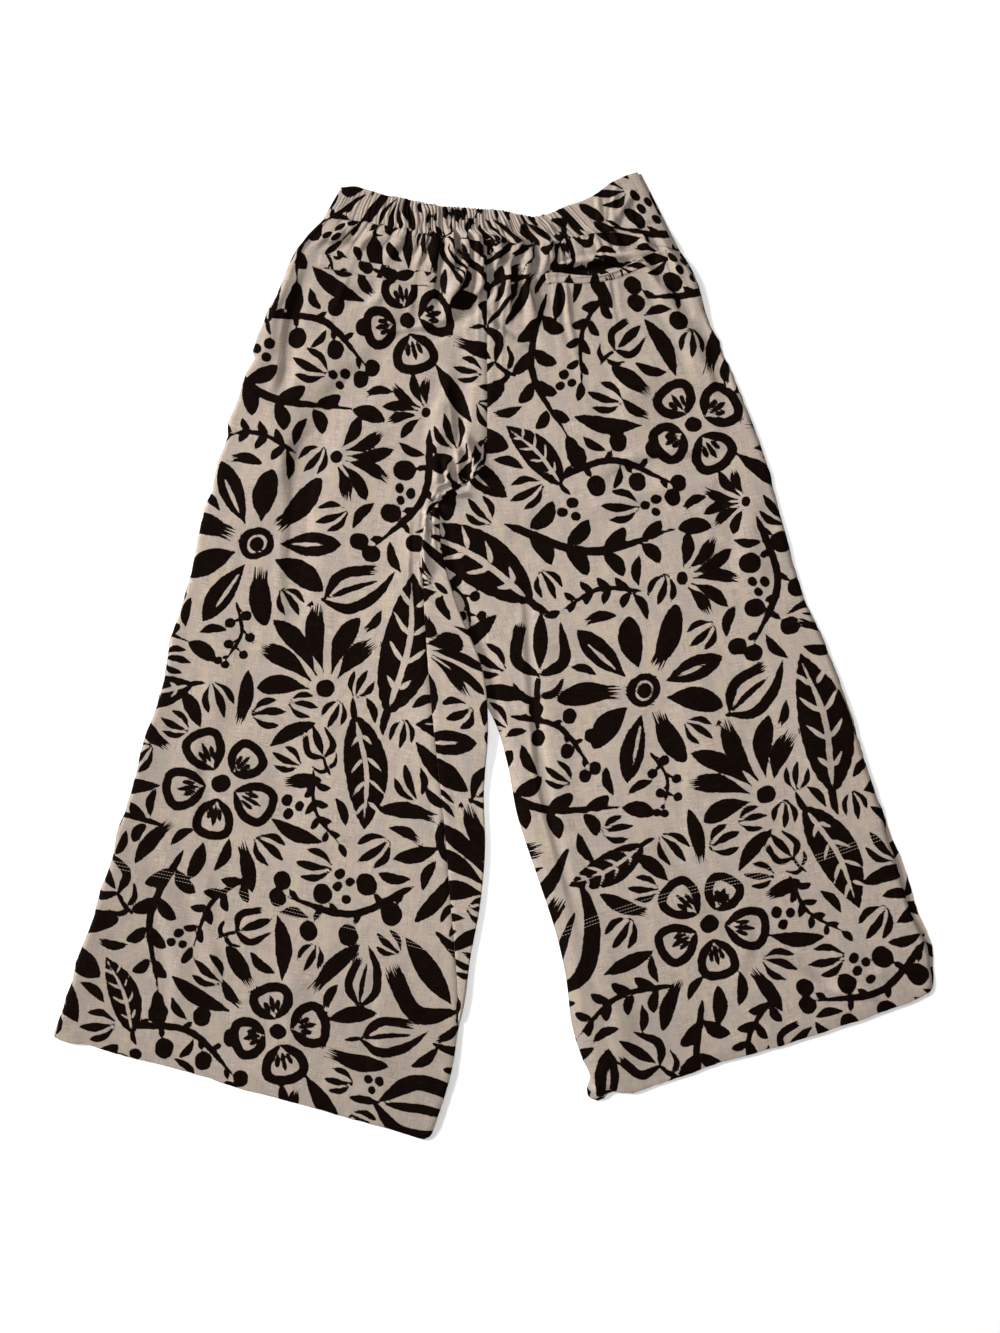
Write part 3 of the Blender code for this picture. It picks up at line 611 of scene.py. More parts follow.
def daisy(petals=9, inner=24.0, outer=86.0, width=24.5):
    """Open flower: solid eye with a bare ring, plump petals, a third of them veined and a third dry."""
    out = [dot(0, 0, inner * 0.66), ring(inner * 0.36, 2.6, 0.08)]
    for k in range(petals):
        a = 360 / petals * k
        far = outer * (1 + 0.11 * np.sin(2.3 * k))
        root, tip = polar(inner, a), polar(far, a + 6 * np.sin(k * 1.7))
        if k % 3 == 1:
            out.append(petal(*tip, *root, width * 0.92, 0.05, lead=0.42, dry=11.0))
        else:
            out.append(petal(*root, *tip, width, 0.06 * np.sin(k), lead=0.56))
        if k % 3 == 0:
            vein = [polar(inner + 12, a), polar(far * 0.80, a + 3 * np.sin(k * 1.7))]
            out.append(brush(vein, 4.4, 0.4, 0.4, 5, BARE))
    return out


def veined_leaf(length=124.0, width=47.0, bow=0.06, pairs=4):
    """Solid leaf with a bare midrib and side veins."""
    out = [petal(0, 0, 0, length, width, bow, lead=0.45, power=0.9),
           brush([(0, 4), (-bow * length, length * 0.5), (0, length * 0.93)], 5.6, 0.1, 0.5, 10, BARE)]
    for k in range(pairs):
        t = (k + 0.9) / (pairs + 1.1)
        y, x = length * t, -bow * length * 4 * t * (1 - t)
        w = width * 0.36 * np.sin(np.pi * min(1, t * 0.95 + 0.02)) ** 0.8
        for s in (-1, 1):
            rib = [(x + s * 2, y), (x + s * w * 0.6, y + w * 0.45), (x + s * w * 1.05, y + w)]
            out.append(brush(rib, 4.6, 0.1, 0.6, 5, BARE))
    return out + [brush([(1, -20), (2, -7), (0, 6)], 7.0, 0.4, 0.1, 5)]


def split_leaf(length=112.0, width=50.0, bow=-0.10):
    """Leaf of three long strokes laid side by side from one foot."""
    w = width / 2
    left = [(0, 4), (-w * 0.95, length * 0.30), (-w * 0.75, length * 0.68), (-bow * 30, length)]
    right = [(1, 8), (w * 0.95, length * 0.36), (w * 0.55, length * 0.82)]
    return [brush([(0, -18), (0, 8)], 7.0, 0.4, 0.2, 4),
            brush(left, 15.0, 0.4, 0.45, 14, blunt=(0.1, 0.1)),
            brush(right, 14.0, 0.35, 0.35, 14, blunt=(0.1, 0.7), dry=12.0),
            brush([(0, 14), (1, length * 0.45), (-1, length * 0.74)], 8.0, 0.3, 0.5, 10)]


def bent_stem(length, bend, width, end, count):
    """Bent stem as a stroke, and even points along it."""
    line = [(0, 0), (bend, length * 0.5), (0, length)]
    return [brush(line, width, 0.1, end, count)], smooth_path(line, 24)


def sprig(length=150.0, leaf=34.0, width=14.5, pairs=4, bend=22.0):
    """Bent stem with almond leaves in pairs."""
    out, stem = bent_stem(length, bend, 7.4, 0.5, 16)
    for k in range(pairs):
        t = (k + 0.7) / (pairs + 0.5)
        x, y = stem[int(t * 23)]
        for s in (-1, 1):
            a = 90 - s * (52 - 10 * t)
            (dx, dy), (ox, oy) = polar(leaf * (1.1 - 0.4 * t), a), polar(5, a)
            out.append(petal(x + ox, y + oy, x + dx, y + dy, width * (1.08 - 0.3 * t), 0.12 * s))
    x, y = stem[-1]
    return out + [petal(x, y + 2, x - 3, y + leaf * 0.9, width, 0.05)]


def berry_branch(length=112.0, berries=6, r=9.0, bend=-20.0):
    """Thin stem with round berries on short stalks."""
    out, stem = bent_stem(length, bend, 6.4, 0.4, 14)
    for k in range(berries):
        t = (k + 0.8) / (berries + 0.2)
        x, y = stem[min(23, int(t * 23))]
        dx, dy = polar(16, 90 - (58 if k % 2 else -58))
        out += [brush([(x, y), (x + dx * 0.7, y + dy * 0.7)], 5.2, 0.2, 0.2, 4),
                dot(x + dx * 1.35, y + dy * 1.35, r * (1.05 - 0.25 * t))]
    return out + [dot(stem[-1][0], stem[-1][1] + 7, r * 0.8)]


def fan(rays=6, length=76.0, width=17.0, spread=140.0):
    """Palmette of tapered strokes from a heel."""
    out = [dot(0, 0, 7.5)]
    for k in range(rays):
        a = 90 - spread / 2 + spread * k / (rays - 1)
        tip = polar(length * (0.78 + 0.22 * np.sin(np.pi * k / (rays - 1))), a + 4 * np.sin(k * 2.1))
        dry = 10.0 if k % 2 else 0.0
        out.append(petal(*polar(14, a), *tip, width, 0.08 * np.sign(90 - a), lead=0.62, dry=dry))
    return out


def tulip(height=82.0, width=58.0):
    """Cup of three petals on a stalk with two leaves."""
    w = width / 2
    out = [brush([(0, -40), (3, -16), (0, 3)], 7.5, 0.3, 0.1, 6)]
    for s, blunt, dry in ((-1, 0.12, 0.0), (1, 0.7, 10.0)):
        cup = [(0, 3), (s * w * 1.05, height * 0.28), (s * w * 0.85, height * 0.86)]
        out.append(brush(cup, 15.0, 0.35, 0.5, blunt=(0.12, blunt), dry=dry))
    return out + [petal(0, 12, 0, height, w * 0.66),
                  brush([(-3, -23), (-20, -17), (-31, 2)], 10.0, 0.2, 0.7, 8),
                  brush([(3, -30), (20, -25), (33, -8)], 10.0, 0.2, 0.7, 8)]


def dash(length, width, bow, dry=0.0):
    """One short stroke."""
    return [petal(0, -length / 2, 0, length / 2, width, bow, dry=dry)]


def sprout(length=46.0, width=24.0):
    """Three short strokes from one foot."""
    foot = -length * 0.5
    out = [petal(0, foot, 0, length * 0.5, width * 0.44, 0.05, lead=0.6)]
    for s in (-1, 1):
        out.append(petal(s * 3.5, foot, s * width * 0.72, length * 0.26, width * 0.38, -0.14 * s, lead=0.6))
    return out


def trefoil(r=6.2, gap=16.0):
    """Three dots."""
    return [dot(*polar(gap * 0.58, 90 + 120 * k), r * (1 - 0.08 * k)) for k in range(3)]


def rose(radius, petals, phase):
    """Wild rose: looped petals round a solid eye, each with a few veins."""
    out = [dot(0, 0, radius * 0.17)]
    half = 178 / petals
    for k in range(petals):
        a = 360 / petals * k + 57 * phase
        reach = radius * (1 + 0.07 * np.sin(2.3 * k + phase))
        base = polar(radius * 0.30, a)
        round_it = ((0.66, -0.70), (0.98, -0.50), (1.04, 0), (0.98, 0.50), (0.66, 0.70))
        loop = [base] + [polar(reach * far, a + half * side) for far, side in round_it] + [base]
        out.append(brush(loop, 10.5, 0.12, 0.12, 26))
        for s, near, far in ((-0.24, 0.50, 0.74), (0.0, 0.44, 0.84), (0.24, 0.50, 0.74)):
            vein = [polar(reach * near, a + half * s), polar(reach * far, a + half * s * 1.15)]
            out.append(brush(vein, 5.4, 0.4, 0.3, 5))
    return out


def crown(radius, rays, start, span, length, width):
    """Petals standing round a flower, some brushed inward and dry."""
    out = []
    for k in range(rays):
        a = start + span * (k + 0.5) / rays
        far = length * (1 + 0.20 * np.sin(2.1 * k + 0.7))
        near, tip = polar(radius * 1.26, a), polar(radius * 1.26 + far, a + 5 * np.sin(1.9 * k))
        if k % 2:
            out.append(petal(*tip, *near, width, 0.06 * np.sin(k * 1.3), lead=0.45, dry=12.0))
        else:
            out.append(petal(*near, *tip, width, 0.07 * np.sin(k * 1.3), lead=0.52))
    return out


def big_rose():
    """Rose of five petals with a full crown."""
    return rose(63, 5, 0.4) + crown(60, 10, 10, 360, 60, 18.5)


def small_rose():
    """Rose of four petals with a crown on one side."""
    return rose(50, 4, 1.0) + crown(47, 7, -30, 250, 68, 19)


# Large flowers placed one by one: maker, x, y, size, turn, flip
LARGE = (
    (big_rose, 150, 175, 1.0, 0, 1), (daisy, 420, 120, 1.12, 10, 1), (small_rose, 545, 400, 1.0, -35, 1),
    (daisy, 250, 455, 1.15, 5, -1), (big_rose, 430, 665, 0.92, 40, -1), (small_rose, 95, 665, 0.95, 150, 1),
)
# Motifs that fill the larger empty places in turn: maker, radius of its room, distance from foot to middle
LEAF, SPLIT = (veined_leaf, 37, 58), (split_leaf, 34, 50)
SPRIG, BERRIES = (sprig, 44, 80), (berry_branch, 37, 61)
MEDIUM = (LEAF, SPRIG, SPLIT, BERRIES, (tulip, 43, 28), LEAF, (fan, 43, 26), SPRIG, SPLIT, BERRIES)
# Radius of the empty place that takes a motif, a sprout, a large dash or trefoil, a small dash or dot
ROOM_MOTIF, ROOM_SPROUT, ROOM_DASH, ROOM_FULL = 24.0, 17.5, 13.0, 12.6
# How far room is measured at first and from each new motif; step of its grid
ROOM_FAR, ROOM_NEAR, ROOM_STEP = 130.0, 75.0, 4.0
# Painted shade of the right pocket's opening, laid as a dark stroke of the print in its mouth, in plan: x, y,
# half width
MOUTH_PAINTED_SHADE = (
    (60, 380, 1.0), (76, 382, 3.6), (92, 385, 5.6), (103, 388, 6.4), (112, 389, 3.0), (128, 390, 1.6),
    (142, 394, 0.6),
)


def from_stroke(x, y, path, dry):
    """Distance from a stroke's edge, negative inside; place across it; distance to its split end."""
    best, side, left = np.full(len(x), 1e3), np.zeros(len(x)), np.full(len(x), WET)
    lengths = np.hypot(*np.diff(path[:, :2], axis=0).T)
    after = lengths.sum()
    for i, (a, b) in enumerate(zip(path[:-1], path[1:])):
        dx, dy = b[0] - a[0], b[1] - a[1]
        run = (x - a[0]) * dx + (y - a[1]) * dy
        size = lengths[i] + 1e-6
        t = np.clip(run / size ** 2, 0, 1)
        gap = np.hypot(x - a[0] - t * dx, y - a[1] - t * dy) - (a[2] + t * (b[2] - a[2]))
        closer = gap < best
        best = np.where(closer, gap, best)
        if dry:
            side = np.where(closer, ((x - a[0]) * dy - (y - a[1]) * dx) / size, side)
            run = run / size if i == len(lengths) - 1 else t * size
            left = np.where(closer, after - run, left)
        after -= lengths[i]
    return best, side, left


def paint(x, y, strokes, ink, across, tip, margin):
    """Update the signed distance to the ink's edge (negative inside) and each point's place in its stroke."""
    for number, (mode, path, dry) in enumerate(strokes):
        low, high = path.min(axis=0), path.max(axis=0)
        r = high[2] + margin
        for ox, oy in SHIFTS:
            x0, x1, y0, y1 = low[0] + ox - r, high[0] + ox + r, low[1] + oy - r, high[1] + oy + r
            if x1 < 0 or x0 > REPEAT_WIDE or y1 < 0 or y0 > REPEAT_LONG:
                continue
            near = np.nonzero((x > x0) & (x < x1) & (y > y0) & (y < y1))[0]
            if not len(near):
                continue
            best, side, left = from_stroke(x[near] - ox, y[near] - oy, path, dry)
            if mode == BARE:
                ink[near] = np.maximum(ink[near], -best)
                continue
            won = best < ink[near]
            ink[near[won]] = best[won]
            across[near[won]] = side[won] + 31.0 * (number % 29)
            tip[near[won]] = left[won] * 12.0 / dry if dry else WET
    return ink, across, tip


def blank(count, far):
    """Ink distance, place across and distance to the split end where nothing is painted yet."""
    return np.full(count, far), np.zeros(count), np.full(count, WET)


def hole_direction(room, shape, x, y, r):
    """Direction in which an empty place runs furthest."""
    angles = np.arange(0, 180, 15)
    score = []
    for a in np.radians(angles):
        total = 0.0
        for d in (-2.2, -1.7, -1.2, 1.2, 1.7, 2.2):
            px, py = (x + d * r * np.cos(a)) % REPEAT_WIDE, (y + d * r * np.sin(a)) % REPEAT_LONG
            total += min(room[int(py / ROOM_STEP) % shape[0] * shape[1] + int(px / ROOM_STEP) % shape[1]], r)
        score.append(total)
    return angles[int(np.argmax(score))] - 90


def make_print():
    """Strokes of one repeat: the listed large flowers, then the largest empty place filled each time."""
    strokes = []
    for maker, *place in LARGE:
        strokes += put(maker(), *place)
    gx, gy = np.meshgrid(*(np.arange(ROOM_STEP / 2, far, ROOM_STEP) for far in (REPEAT_WIDE, REPEAT_LONG)))
    shape = gx.shape
    gx, gy = gx.ravel(), gy.ravel()
    room, across, tip = paint(gx, gy, strokes, *blank(len(gx), ROOM_FAR), ROOM_FAR)
    medium = 0
    for index in range(500):
        best = int(np.argmax(room))
        r = room[best]
        if r < ROOM_FULL:
            break
        x, y = gx[best], gy[best]
        turn = hole_direction(room, shape, x, y, r) + (180 if index % 2 else 0)
        if r > ROOM_MOTIF:
            maker, nominal, middle = MEDIUM[medium % len(MEDIUM)]
            medium += 1
            size = min(1.3, r / nominal * 0.86)
            shift, a = middle * size, np.radians(turn)
            x, y = x + shift * np.sin(a), y - shift * np.cos(a)
            new = put(maker(), x, y, size, turn, -1 if medium % 2 else 1)
        elif r > ROOM_SPROUT:
            new = put(sprout(), x, y, min(1.2, r / 25.0), turn)
        elif r > ROOM_DASH and index % 6:
            stroke = dash(46, 15, 0.10 if index % 3 else -0.10, 9.0 if index % 4 == 1 else 0.0)
            new = put(stroke, x, y, r / 20.5, turn)
        elif r > ROOM_DASH:
            new = put(trefoil(), x, y, r / 17.0, turn)
        elif index % 4:
            new = put(dash(32, 10.5, 0.10), x, y, r / 15.5, turn)
        else:
            new = [dot(x, y, min(5.5, r * 0.40))]
        strokes += new
        room = paint(gx, gy, new, room, across, tip, ROOM_NEAR)[0]
        room[best] = min(room[best], 0)
    return strokes


PRINT = make_print()


def print_at(p, q):
    """Ink distance, place across the stroke and distance to its split end, in mm, at cloth coordinates."""
    x, y = (p / PRINT_SCALE % REPEAT_WIDE).ravel(), (q / PRINT_SCALE % REPEAT_LONG).ravel()
    found = paint(x, y, PRINT, *blank(p.size, INK_REACH), INK_REACH)
    return [PRINT_SCALE * values.reshape(p.shape) for values in found]


# ---------------------------------------------------------------- materials


def feed(tree, socket, value):
    """Link a socket to an input, or set the input to a number, vector or colour."""
    if isinstance(value, bpy.types.NodeSocket):
        tree.links.new(value, socket)
    else:
        socket.default_value = (*value, 1.0) if socket.type == "RGBA" else value


def node(tree, kind, **values):
    """New shader node; each value is fed to the input of that name or is a setting of the node."""
    item = tree.nodes.new("ShaderNode" + kind)
    for key, value in values.items():
        label = key.replace("_", " ")
        if label in item.inputs:
            feed(tree, item.inputs[label], value)
        else:
            setattr(item, key, value)
    return item


def math_node(tree, operation, a, b):
    """Math of two sockets or numbers."""
    item = node(tree, "Math", operation=operation)
    feed(tree, item.inputs[0], a)
    feed(tree, item.inputs[1], b)
    return item.outputs[0]


def ramp(tree, value, low, high, easing="SMOOTHSTEP"):
    """Value eased from 0 at low to 1 at high."""
    item = node(tree, "MapRange", interpolation_type=easing, Value=value, From_Min=low, From_Max=high)
    return item.outputs["Result"]


def mix_colour(tree, factor, a, b):
    """Mixed colour; a and b are sockets or colours."""
    item = node(tree, "Mix", data_type="RGBA")
    for place, value in ((0, factor), (6, a), (7, b)):
        feed(tree, item.inputs[place], value)
    return item.outputs[2]


def scaled(tree, vector, x, y):
    """Vector multiplied axis by axis."""
    item = node(tree, "VectorMath", operation="MULTIPLY")
    feed(tree, item.inputs[0], vector)
    item.inputs[1].default_value = (x, y, 1.0)
    return item.outputs[0]


def noise_value(tree, vector, scale, detail=2.0, roughness=0.5):
    """Noise texture value."""
    item = node(tree, "TexNoise", Vector=vector, Scale=scale, Detail=detail, Roughness=roughness)
    return item.outputs["Fac"]


def new_material(name, **values):
    """New material with values fed to its shader, with its node tree and that shader."""
    material = bpy.data.materials.new(name)
    material.use_nodes = True
    tree = material.node_tree
    shader = tree.nodes["Principled BSDF"]
    finish(tree, shader, **values)
    return material, tree, shader


def finish(tree, shader, **values):
    """Feed values to a shader's inputs."""
    for key, value in values.items():
        feed(tree, shader.inputs[key.replace("_", " ")], value)


GROUND = (0.348, 0.291, 0.247)
GROUND_DARK = (0.226, 0.180, 0.146)
GROUND_LIGHT = (0.520, 0.452, 0.392)
# Broad uneven patches: features per metre, colour
TINTS = ((62.0, (0.388, 0.322, 0.216)), (83.0, (0.372, 0.277, 0.255)), (47.0, (0.268, 0.239, 0.221)))
INK_COLOUR = (0.0026, 0.0006, 0.0002)
INK_FADED = (0.0060, 0.0034, 0.0022)
BRISTLE_LENGTH = 11.5
INK_TRIM = -0.15
# Yarns: features per metre along the thread and across it
SLUB, YARN = 70.0, 1150.0


def linen(name, tone=1.0):
    """Printed slubby linen: cloth coordinates in the UV map 'cloth' in metres, ink distance in 'ink', share
    of painted light and shade in the third value of 'stroke'.
    """
    material, tree, shader = new_material(
        name, Sheen_Weight=0.004, Sheen_Roughness=0.5, Specular_IOR_Level=0.02)
    kinds = ("ADD", "SUBTRACT", "MULTIPLY", "MAXIMUM")
    add, less, times, most = (partial(math_node, tree, kind) for kind in kinds)
    step, mix, grain = (partial(maker, tree) for maker in (ramp, mix_colour, noise_value))
    cloth = node(tree, "UVMap", uv_map="cloth").outputs["UV"]
    ink = node(tree, "Attribute", attribute_name="ink").outputs["Fac"]
    stroke = node(tree, "Attribute", attribute_name="stroke").outputs["Vector"]
    across_stroke, from_tip, painted_light_shade = node(tree, "SeparateXYZ", Vector=stroke).outputs

    def toned(colour, share=1.0):
        return tuple(c * tone * share for c in colour)

    # yarns: long thick and thin slubs both ways over a fine weave
    weft = grain(scaled(tree, cloth, SLUB, YARN), 1.0, 3.0, 0.6)
    warp = grain(scaled(tree, cloth, YARN, SLUB), 1.0, 3.0, 0.6)
    slub = add(times(weft, 0.55), times(warp, 0.45))
    light = step(slub, 0.40, 0.66)
    ground = mix(0.85, toned(GROUND), mix(light, toned(GROUND_DARK), toned(GROUND_LIGHT)))
    fleck = step(grain(cloth, 900.0, 2.0, 0.6), 0.56, 0.74)
    ground = mix(times(fleck, 0.30), ground, toned(GROUND_DARK, 0.62))
    mottle = step(grain(cloth, 38.0, 4.0, 0.65), 0.35, 0.7)
    ground = mix(times(mottle, 0.42), ground, toned(GROUND, 0.74))
    for scale, tint in TINTS:
        patch = step(grain(scaled(tree, cloth, scale * 1.5, scale * 0.4), 1.0, 4.0, 0.72), 0.42, 0.66)
        ground = mix(times(patch, 0.60), ground, toned(tint))
    # painted light and shade: the ground darkened towards half its tone where the share is low
    ground = mix(painted_light_shade, toned(GROUND, 0.5), ground)

    # ink: split brush ends, ragged edge, a few dry slubs
    bristle = node(tree, "TexNoise", noise_dimensions="1D", W=across_stroke, Scale=0.62, Detail=1.5,
                   Roughness=0.6)
    bristle = times(step(bristle.outputs["Fac"], 0.34, 0.70, "LINEAR"), BRISTLE_LENGTH)
    split = times(less(bristle, from_tip), 0.4)
    ragged = times(less(grain(cloth, 420.0, 3.0, 0.6), 0.5), 0.9)
    wavering = times(less(grain(cloth, 105.0, 1.0, 0.5), 0.5), 2.2)
    edge = add(most(add(ink, INK_TRIM), split), add(ragged, wavering))
    dry = step(add(slub, times(edge, 0.03)), 0.62, 0.80)
    mask = times(less(1.0, step(edge, -0.30, 0.30)), less(1.0, times(dry, 0.25)))
    rough = less(add(times(slub, 0.16), 0.76), times(mask, 0.06))

    # relief: weave, slubs, soft crumple
    across, along = (node(tree, "TexWave", wave_type="BANDS", bands_direction=axis, Vector=cloth, Scale=420.0,
                          Distortion=1.2).outputs["Fac"] for axis in "XY")
    height = add(times(slub, 0.30), times(times(across, along), 0.16))
    height = add(height, times(grain(cloth, 95.0, 4.0, 0.6), 0.75))
    bump = node(tree, "Bump", Strength=0.55, Distance=0.0011, Height=height)
    finish(tree, shader, Base_Color=mix(mask, ground, mix(light, INK_COLOUR, INK_FADED)), Roughness=rough,
           Normal=bump.outputs["Normal"])
    return material


def thread_material(name, colour):
    """Twisted sewing thread."""
    material, tree, shader = new_material(name, Roughness=0.62)
    twist = noise_value(tree, node(tree, "TexCoord").outputs["Object"], 1400.0)
    bump = node(tree, "Bump", Strength=0.4, Distance=0.0002, Height=twist)
    finish(tree, shader, Base_Color=mix_colour(tree, twist, tuple(c * 0.72 for c in colour), colour),
           Normal=bump.outputs["Normal"])
    return material


# ---------------------------------------------------------------- sheets


def painted_light_and_shade_at(x, y):
    """Share of the full ground colour left at a place after the painted light and shade: 1 is the plain tone.
    """
    share = np.full(x.shape, 0.94)
    for cx, cy, rx, ry, change in PAINTED_LIGHT_AND_SHADE:
        share += change * np.exp(-((x - cx) / rx) ** 2 - ((y - cy) / ry) ** 2)
    return np.clip(share, 0.0, 1.0)


def in_creases(z, spans, full):
    """Share from 0 to 1 of how deep each point lies below its neighbours along the row, which sets the
    painted shade in creases.
    """
    share = np.zeros_like(z)
    for span in spans:
        total = np.cumsum(np.pad(z, ((0, 0), (span + 1, span)), mode="edge"), axis=1)
        mean = (total[:, 2 * span + 1:] - total[:, :-2 * span - 1]) / (2 * span + 1)
        share = np.maximum(share, np.clip((mean - z - 0.1) / full, 0.0, 1.0))
    return share


def put_in_scene(name, data):
    """New object of a mesh, light or camera in the scene."""
    item = bpy.data.objects.new(name, data)
    bpy.context.scene.collection.objects.link(item)
    return item


def new_object(name, points, faces, material, smooth_shaded=True):
    """New mesh object of one material, smooth-shaded unless told otherwise."""
    mesh = bpy.data.meshes.new(name)
    mesh.from_pydata(points, [], faces)
    mesh.polygons.foreach_set("use_smooth", np.full(len(faces), smooth_shaded))
    mesh.materials.append(material)
    mesh.update()
    return put_in_scene(name, mesh)


def cloth_mesh(name, x, y, z, p, q, material, local=(), flip=False, spans=()):
    """Cloth sheet on a grid with its ink distance, cloth coordinates and share of painted light and shade;
    cells with no point are left out.
    """
    keep = ~np.isnan(z)
    index = np.full(x.shape, -1)
    index[keep] = np.arange(keep.sum())
    faces = np.stack([index[:-1, :-1], index[1:, :-1], index[1:, 1:], index[:-1, 1:]], axis=-1)
    faces = faces[(faces >= 0).all(axis=-1)]
    if flip:
        faces = faces[:, ::-1]
    points = np.stack([x[keep], y[keep], z[keep]], axis=1) * MM
    item = new_object(name, points.tolist(), faces.tolist(), material)
    mesh = item.data
    ink, across, tip = (values[keep] for values in print_at(p, q))
    if local:
        ink, across, tip = paint(x[keep], y[keep], local, ink, across, tip, INK_REACH)
    # Painted light and shade: the broad painted patches, less painted shade in the creases, kept as the third
    # value of 'stroke'
    painted_light_shade = np.clip(painted_light_and_shade_at(x, y) - CREASE_PAINTED_SHADE * in_creases(z, spans, 1.6), 0.0, 1.0)
    stroke = np.stack([across, tip, painted_light_shade[keep]], axis=1)
    layers = (("ink", "FLOAT", "value", ink), ("stroke", "FLOAT_VECTOR", "vector", stroke))
    for label, kind, field, values in layers:
        layer = mesh.attributes.new(label, kind, "POINT")
        layer.data.foreach_set(field, values.astype(np.float32).ravel())
    cloth = mesh.uv_layers.new(name="cloth")
    corners = np.zeros(len(mesh.loops), dtype=np.int32)
    mesh.loops.foreach_get("vertex_index", corners)
    flat = np.stack([p[keep], q[keep]], axis=1)[corners] * MM
    cloth.data.foreach_set("uv", flat.ravel().astype(np.float32))
    return item


def step_lengths(x, y, z):
    """Distance from each point of a row to the next one, over its hills and dips."""
    return np.sqrt(np.diff(x, axis=1) ** 2 + np.diff(y, axis=1) ** 2 + np.diff(z, axis=1) ** 2)


def cloth_coordinates(x, y, z, turn, origin, place, depth):
    """Flat cloth coordinates: plan turned to the grain, gathers let out along each row."""
    c, s = math.cos(math.radians(turn)), math.sin(math.radians(turn))
    p = c * x + s * y
    q = -s * x + c * y
    ds = step_lengths(x, y, z) - np.hypot(np.diff(x, axis=1), np.diff(y, axis=1))
    extra = np.concatenate([np.zeros((len(x), 1)), np.cumsum(ds, axis=1)], axis=1)
    far, middle, near = bell(depth, 95.0), bell(depth, 40.0, 1.5), bell(depth, 11.0, 1.5)
    for gathers, inside, between, share in (
            (PLEATS, 0.22, 0.0, far), (PLEATS, 0.0, 0.55, middle), (FRILLS, 0.0, 0.3, near)):
        extra = extra + (hidden_cloth(place, gathers, inside, between) - place) * share
    for gathers, size, share in ((PLEATS, 4.0, middle), (FRILLS, 3.6, near)):
        q = q + (size * pull_at(place) * (gather_of(place, gathers)[2][:, 3] - 0.5)) * share
    centre = x.shape[1] // 2
    extra -= extra[:, centre:centre + 1]
    return p + extra + origin[0], q + origin[1]


# Rows of a turned edge: angle round the fold, then steps inside
TURNED = [(min(1.0, k / 3.0) * math.pi, max(0, k - 3)) for k in range(1, RETURN_STEPS + 1)]


def hem_return(x, y, z, depth):
    """Turned edge past the last row: down round the fold and back inside."""
    dx, dy = leg_direction(x, y)
    ahead = [0.5 * math.sin(angle) - inward * RETURN_DEPTH / 3.0 for angle, inward in TURNED]
    down = [0.45 * (1 - math.cos(angle)) for angle, _ in TURNED]
    x, y = np.vstack([x] + [x[-1] + dx * a for a in ahead]), np.vstack([y] + [y[-1] + dy * a for a in ahead])
    z = np.maximum(np.vstack([z] + [z[-1] - d for d in down]), FRONT_LEVEL)
    return x, y, z, np.vstack([depth] + [depth[-1]] * RETURN_STEPS)


def undulation(x, y, seed):
    """Soft unevenness of cloth that has been worn and laid down."""
    return (0.55 * noise(x, y, 85.0, seed) + 0.40 * noise(x + 0.4 * y, y, 38.0, seed + 1)
            + 0.16 * noise(x, y - 0.3 * x, 15.0, seed + 2) + 0.06 * noise(x, y, 6.0, seed + 3))


def leaning(height, depth):
    """Sideways lean of the steep folds below the waist, away from their foot."""
    return LEAN * np.maximum(height - LOFT - 1.0, 0.0) * bell(depth, 75.0)


def relief(x, y, place, depth):
    """Height of the back above its resting level: loft, folds, gathers and unevenness."""
    height = LOFT + fold_height(x, y, FOLDS) + gather_height(x, y, place, depth) + undulation(x, y, 3)
    height += 2.5 * bell(depth - 26, 40.0)
    height = np.where(height > FOLD_SOFT, FOLD_SOFT + 5.0 * np.tanh((height - FOLD_SOFT) / 5.0), height)
    height += fold_height(x, y, DEEP_FOLDS)
    return height - BAND_STEP * (1 - pull_at(place)) * bell(depth, 6.0)


def panel_grid(x0, y0, x1, y1, columns, table, sag):
    """Grid between two edges, depth and distance to the hem of its rows, distances to both edges."""
    u = np.linspace(0.0, 1.0, columns + 1)
    x = x0[:, None] + (x1 - x0)[:, None] * u
    y = y0[:, None] + (y1 - y0)[:, None] * u - sag[:, None] * 4 * (u - u * u)
    y, depth = follow_waist(x, y)
    x, y, to_hem = hem_stray(x, y, table)
    width = np.hypot(x1 - x0, y1 - y0)[:, None]
    return x, y, depth, to_hem, u * width, (1 - u) * width


def back_panel(name, x, y, depth, to_hem, from_side, from_seam, hold, rise, open_edge, sewn, line, turn,
               origin, local=()):
    """Back panel.  hold: share of loft kept; rise: lift over the other leg; open_edge and sewn: 1 where the
    inner edge is free or sewn; line: hem stitches; turn, origin: grain; local: strokes painted on it."""
    place = x[0]
    height = relief(x, y, place, depth)
    shift = leaning(height, depth)
    height += hem_relief(x, y, line)
    height = np.maximum(height, 0.25 * np.tanh(height / 2.0) + 0.1)
    lying = 0.5 + 0.5 * smooth(to_hem / HEM_SETTLE)
    edge = EDGE_DROP * (np.exp(-from_side / 1.6) + open_edge * np.exp(-from_seam / 1.6))
    z = BACK_LEVEL + rounded(from_side) * hold * lying * height + rise - edge
    z += seam_relief(from_seam, depth) * sewn
    z += seam_groove(place, depth)
    x = x + shift * smooth(from_side / 12.0) * smooth(from_seam / 3.0)
    x, y, z, depth = hem_return(x, y, z, depth)
    p, q = cloth_coordinates(x, y, z, turn, origin, place, depth)
    return cloth_mesh(name, x, y, z, p, q, body_cloth, local, spans=(4, 9))


def back_left():
    """Back panel of the left leg, partly over the right one."""
    side_x, side_y, _, _, seam_x, seam_y, lift, _ = left_rows(BACK_STEP).T
    x, y, depth, to_hem, from_side, from_seam = panel_grid(
        side_x, side_y, seam_x, seam_y, BACK_COLUMNS, LEFT_HEM_STRAY, np.zeros_like(lift))
    rise = lift[:, None] * smooth(1.0 - from_seam / LIFT_SPREAD)
    return back_panel("back_left_panel", x, y, depth, to_hem, from_side, from_seam, 1.0, rise, 0.0, 1.0,
                      LEFT_STITCH, LEFT_GRAIN, (61.0, 40.0))


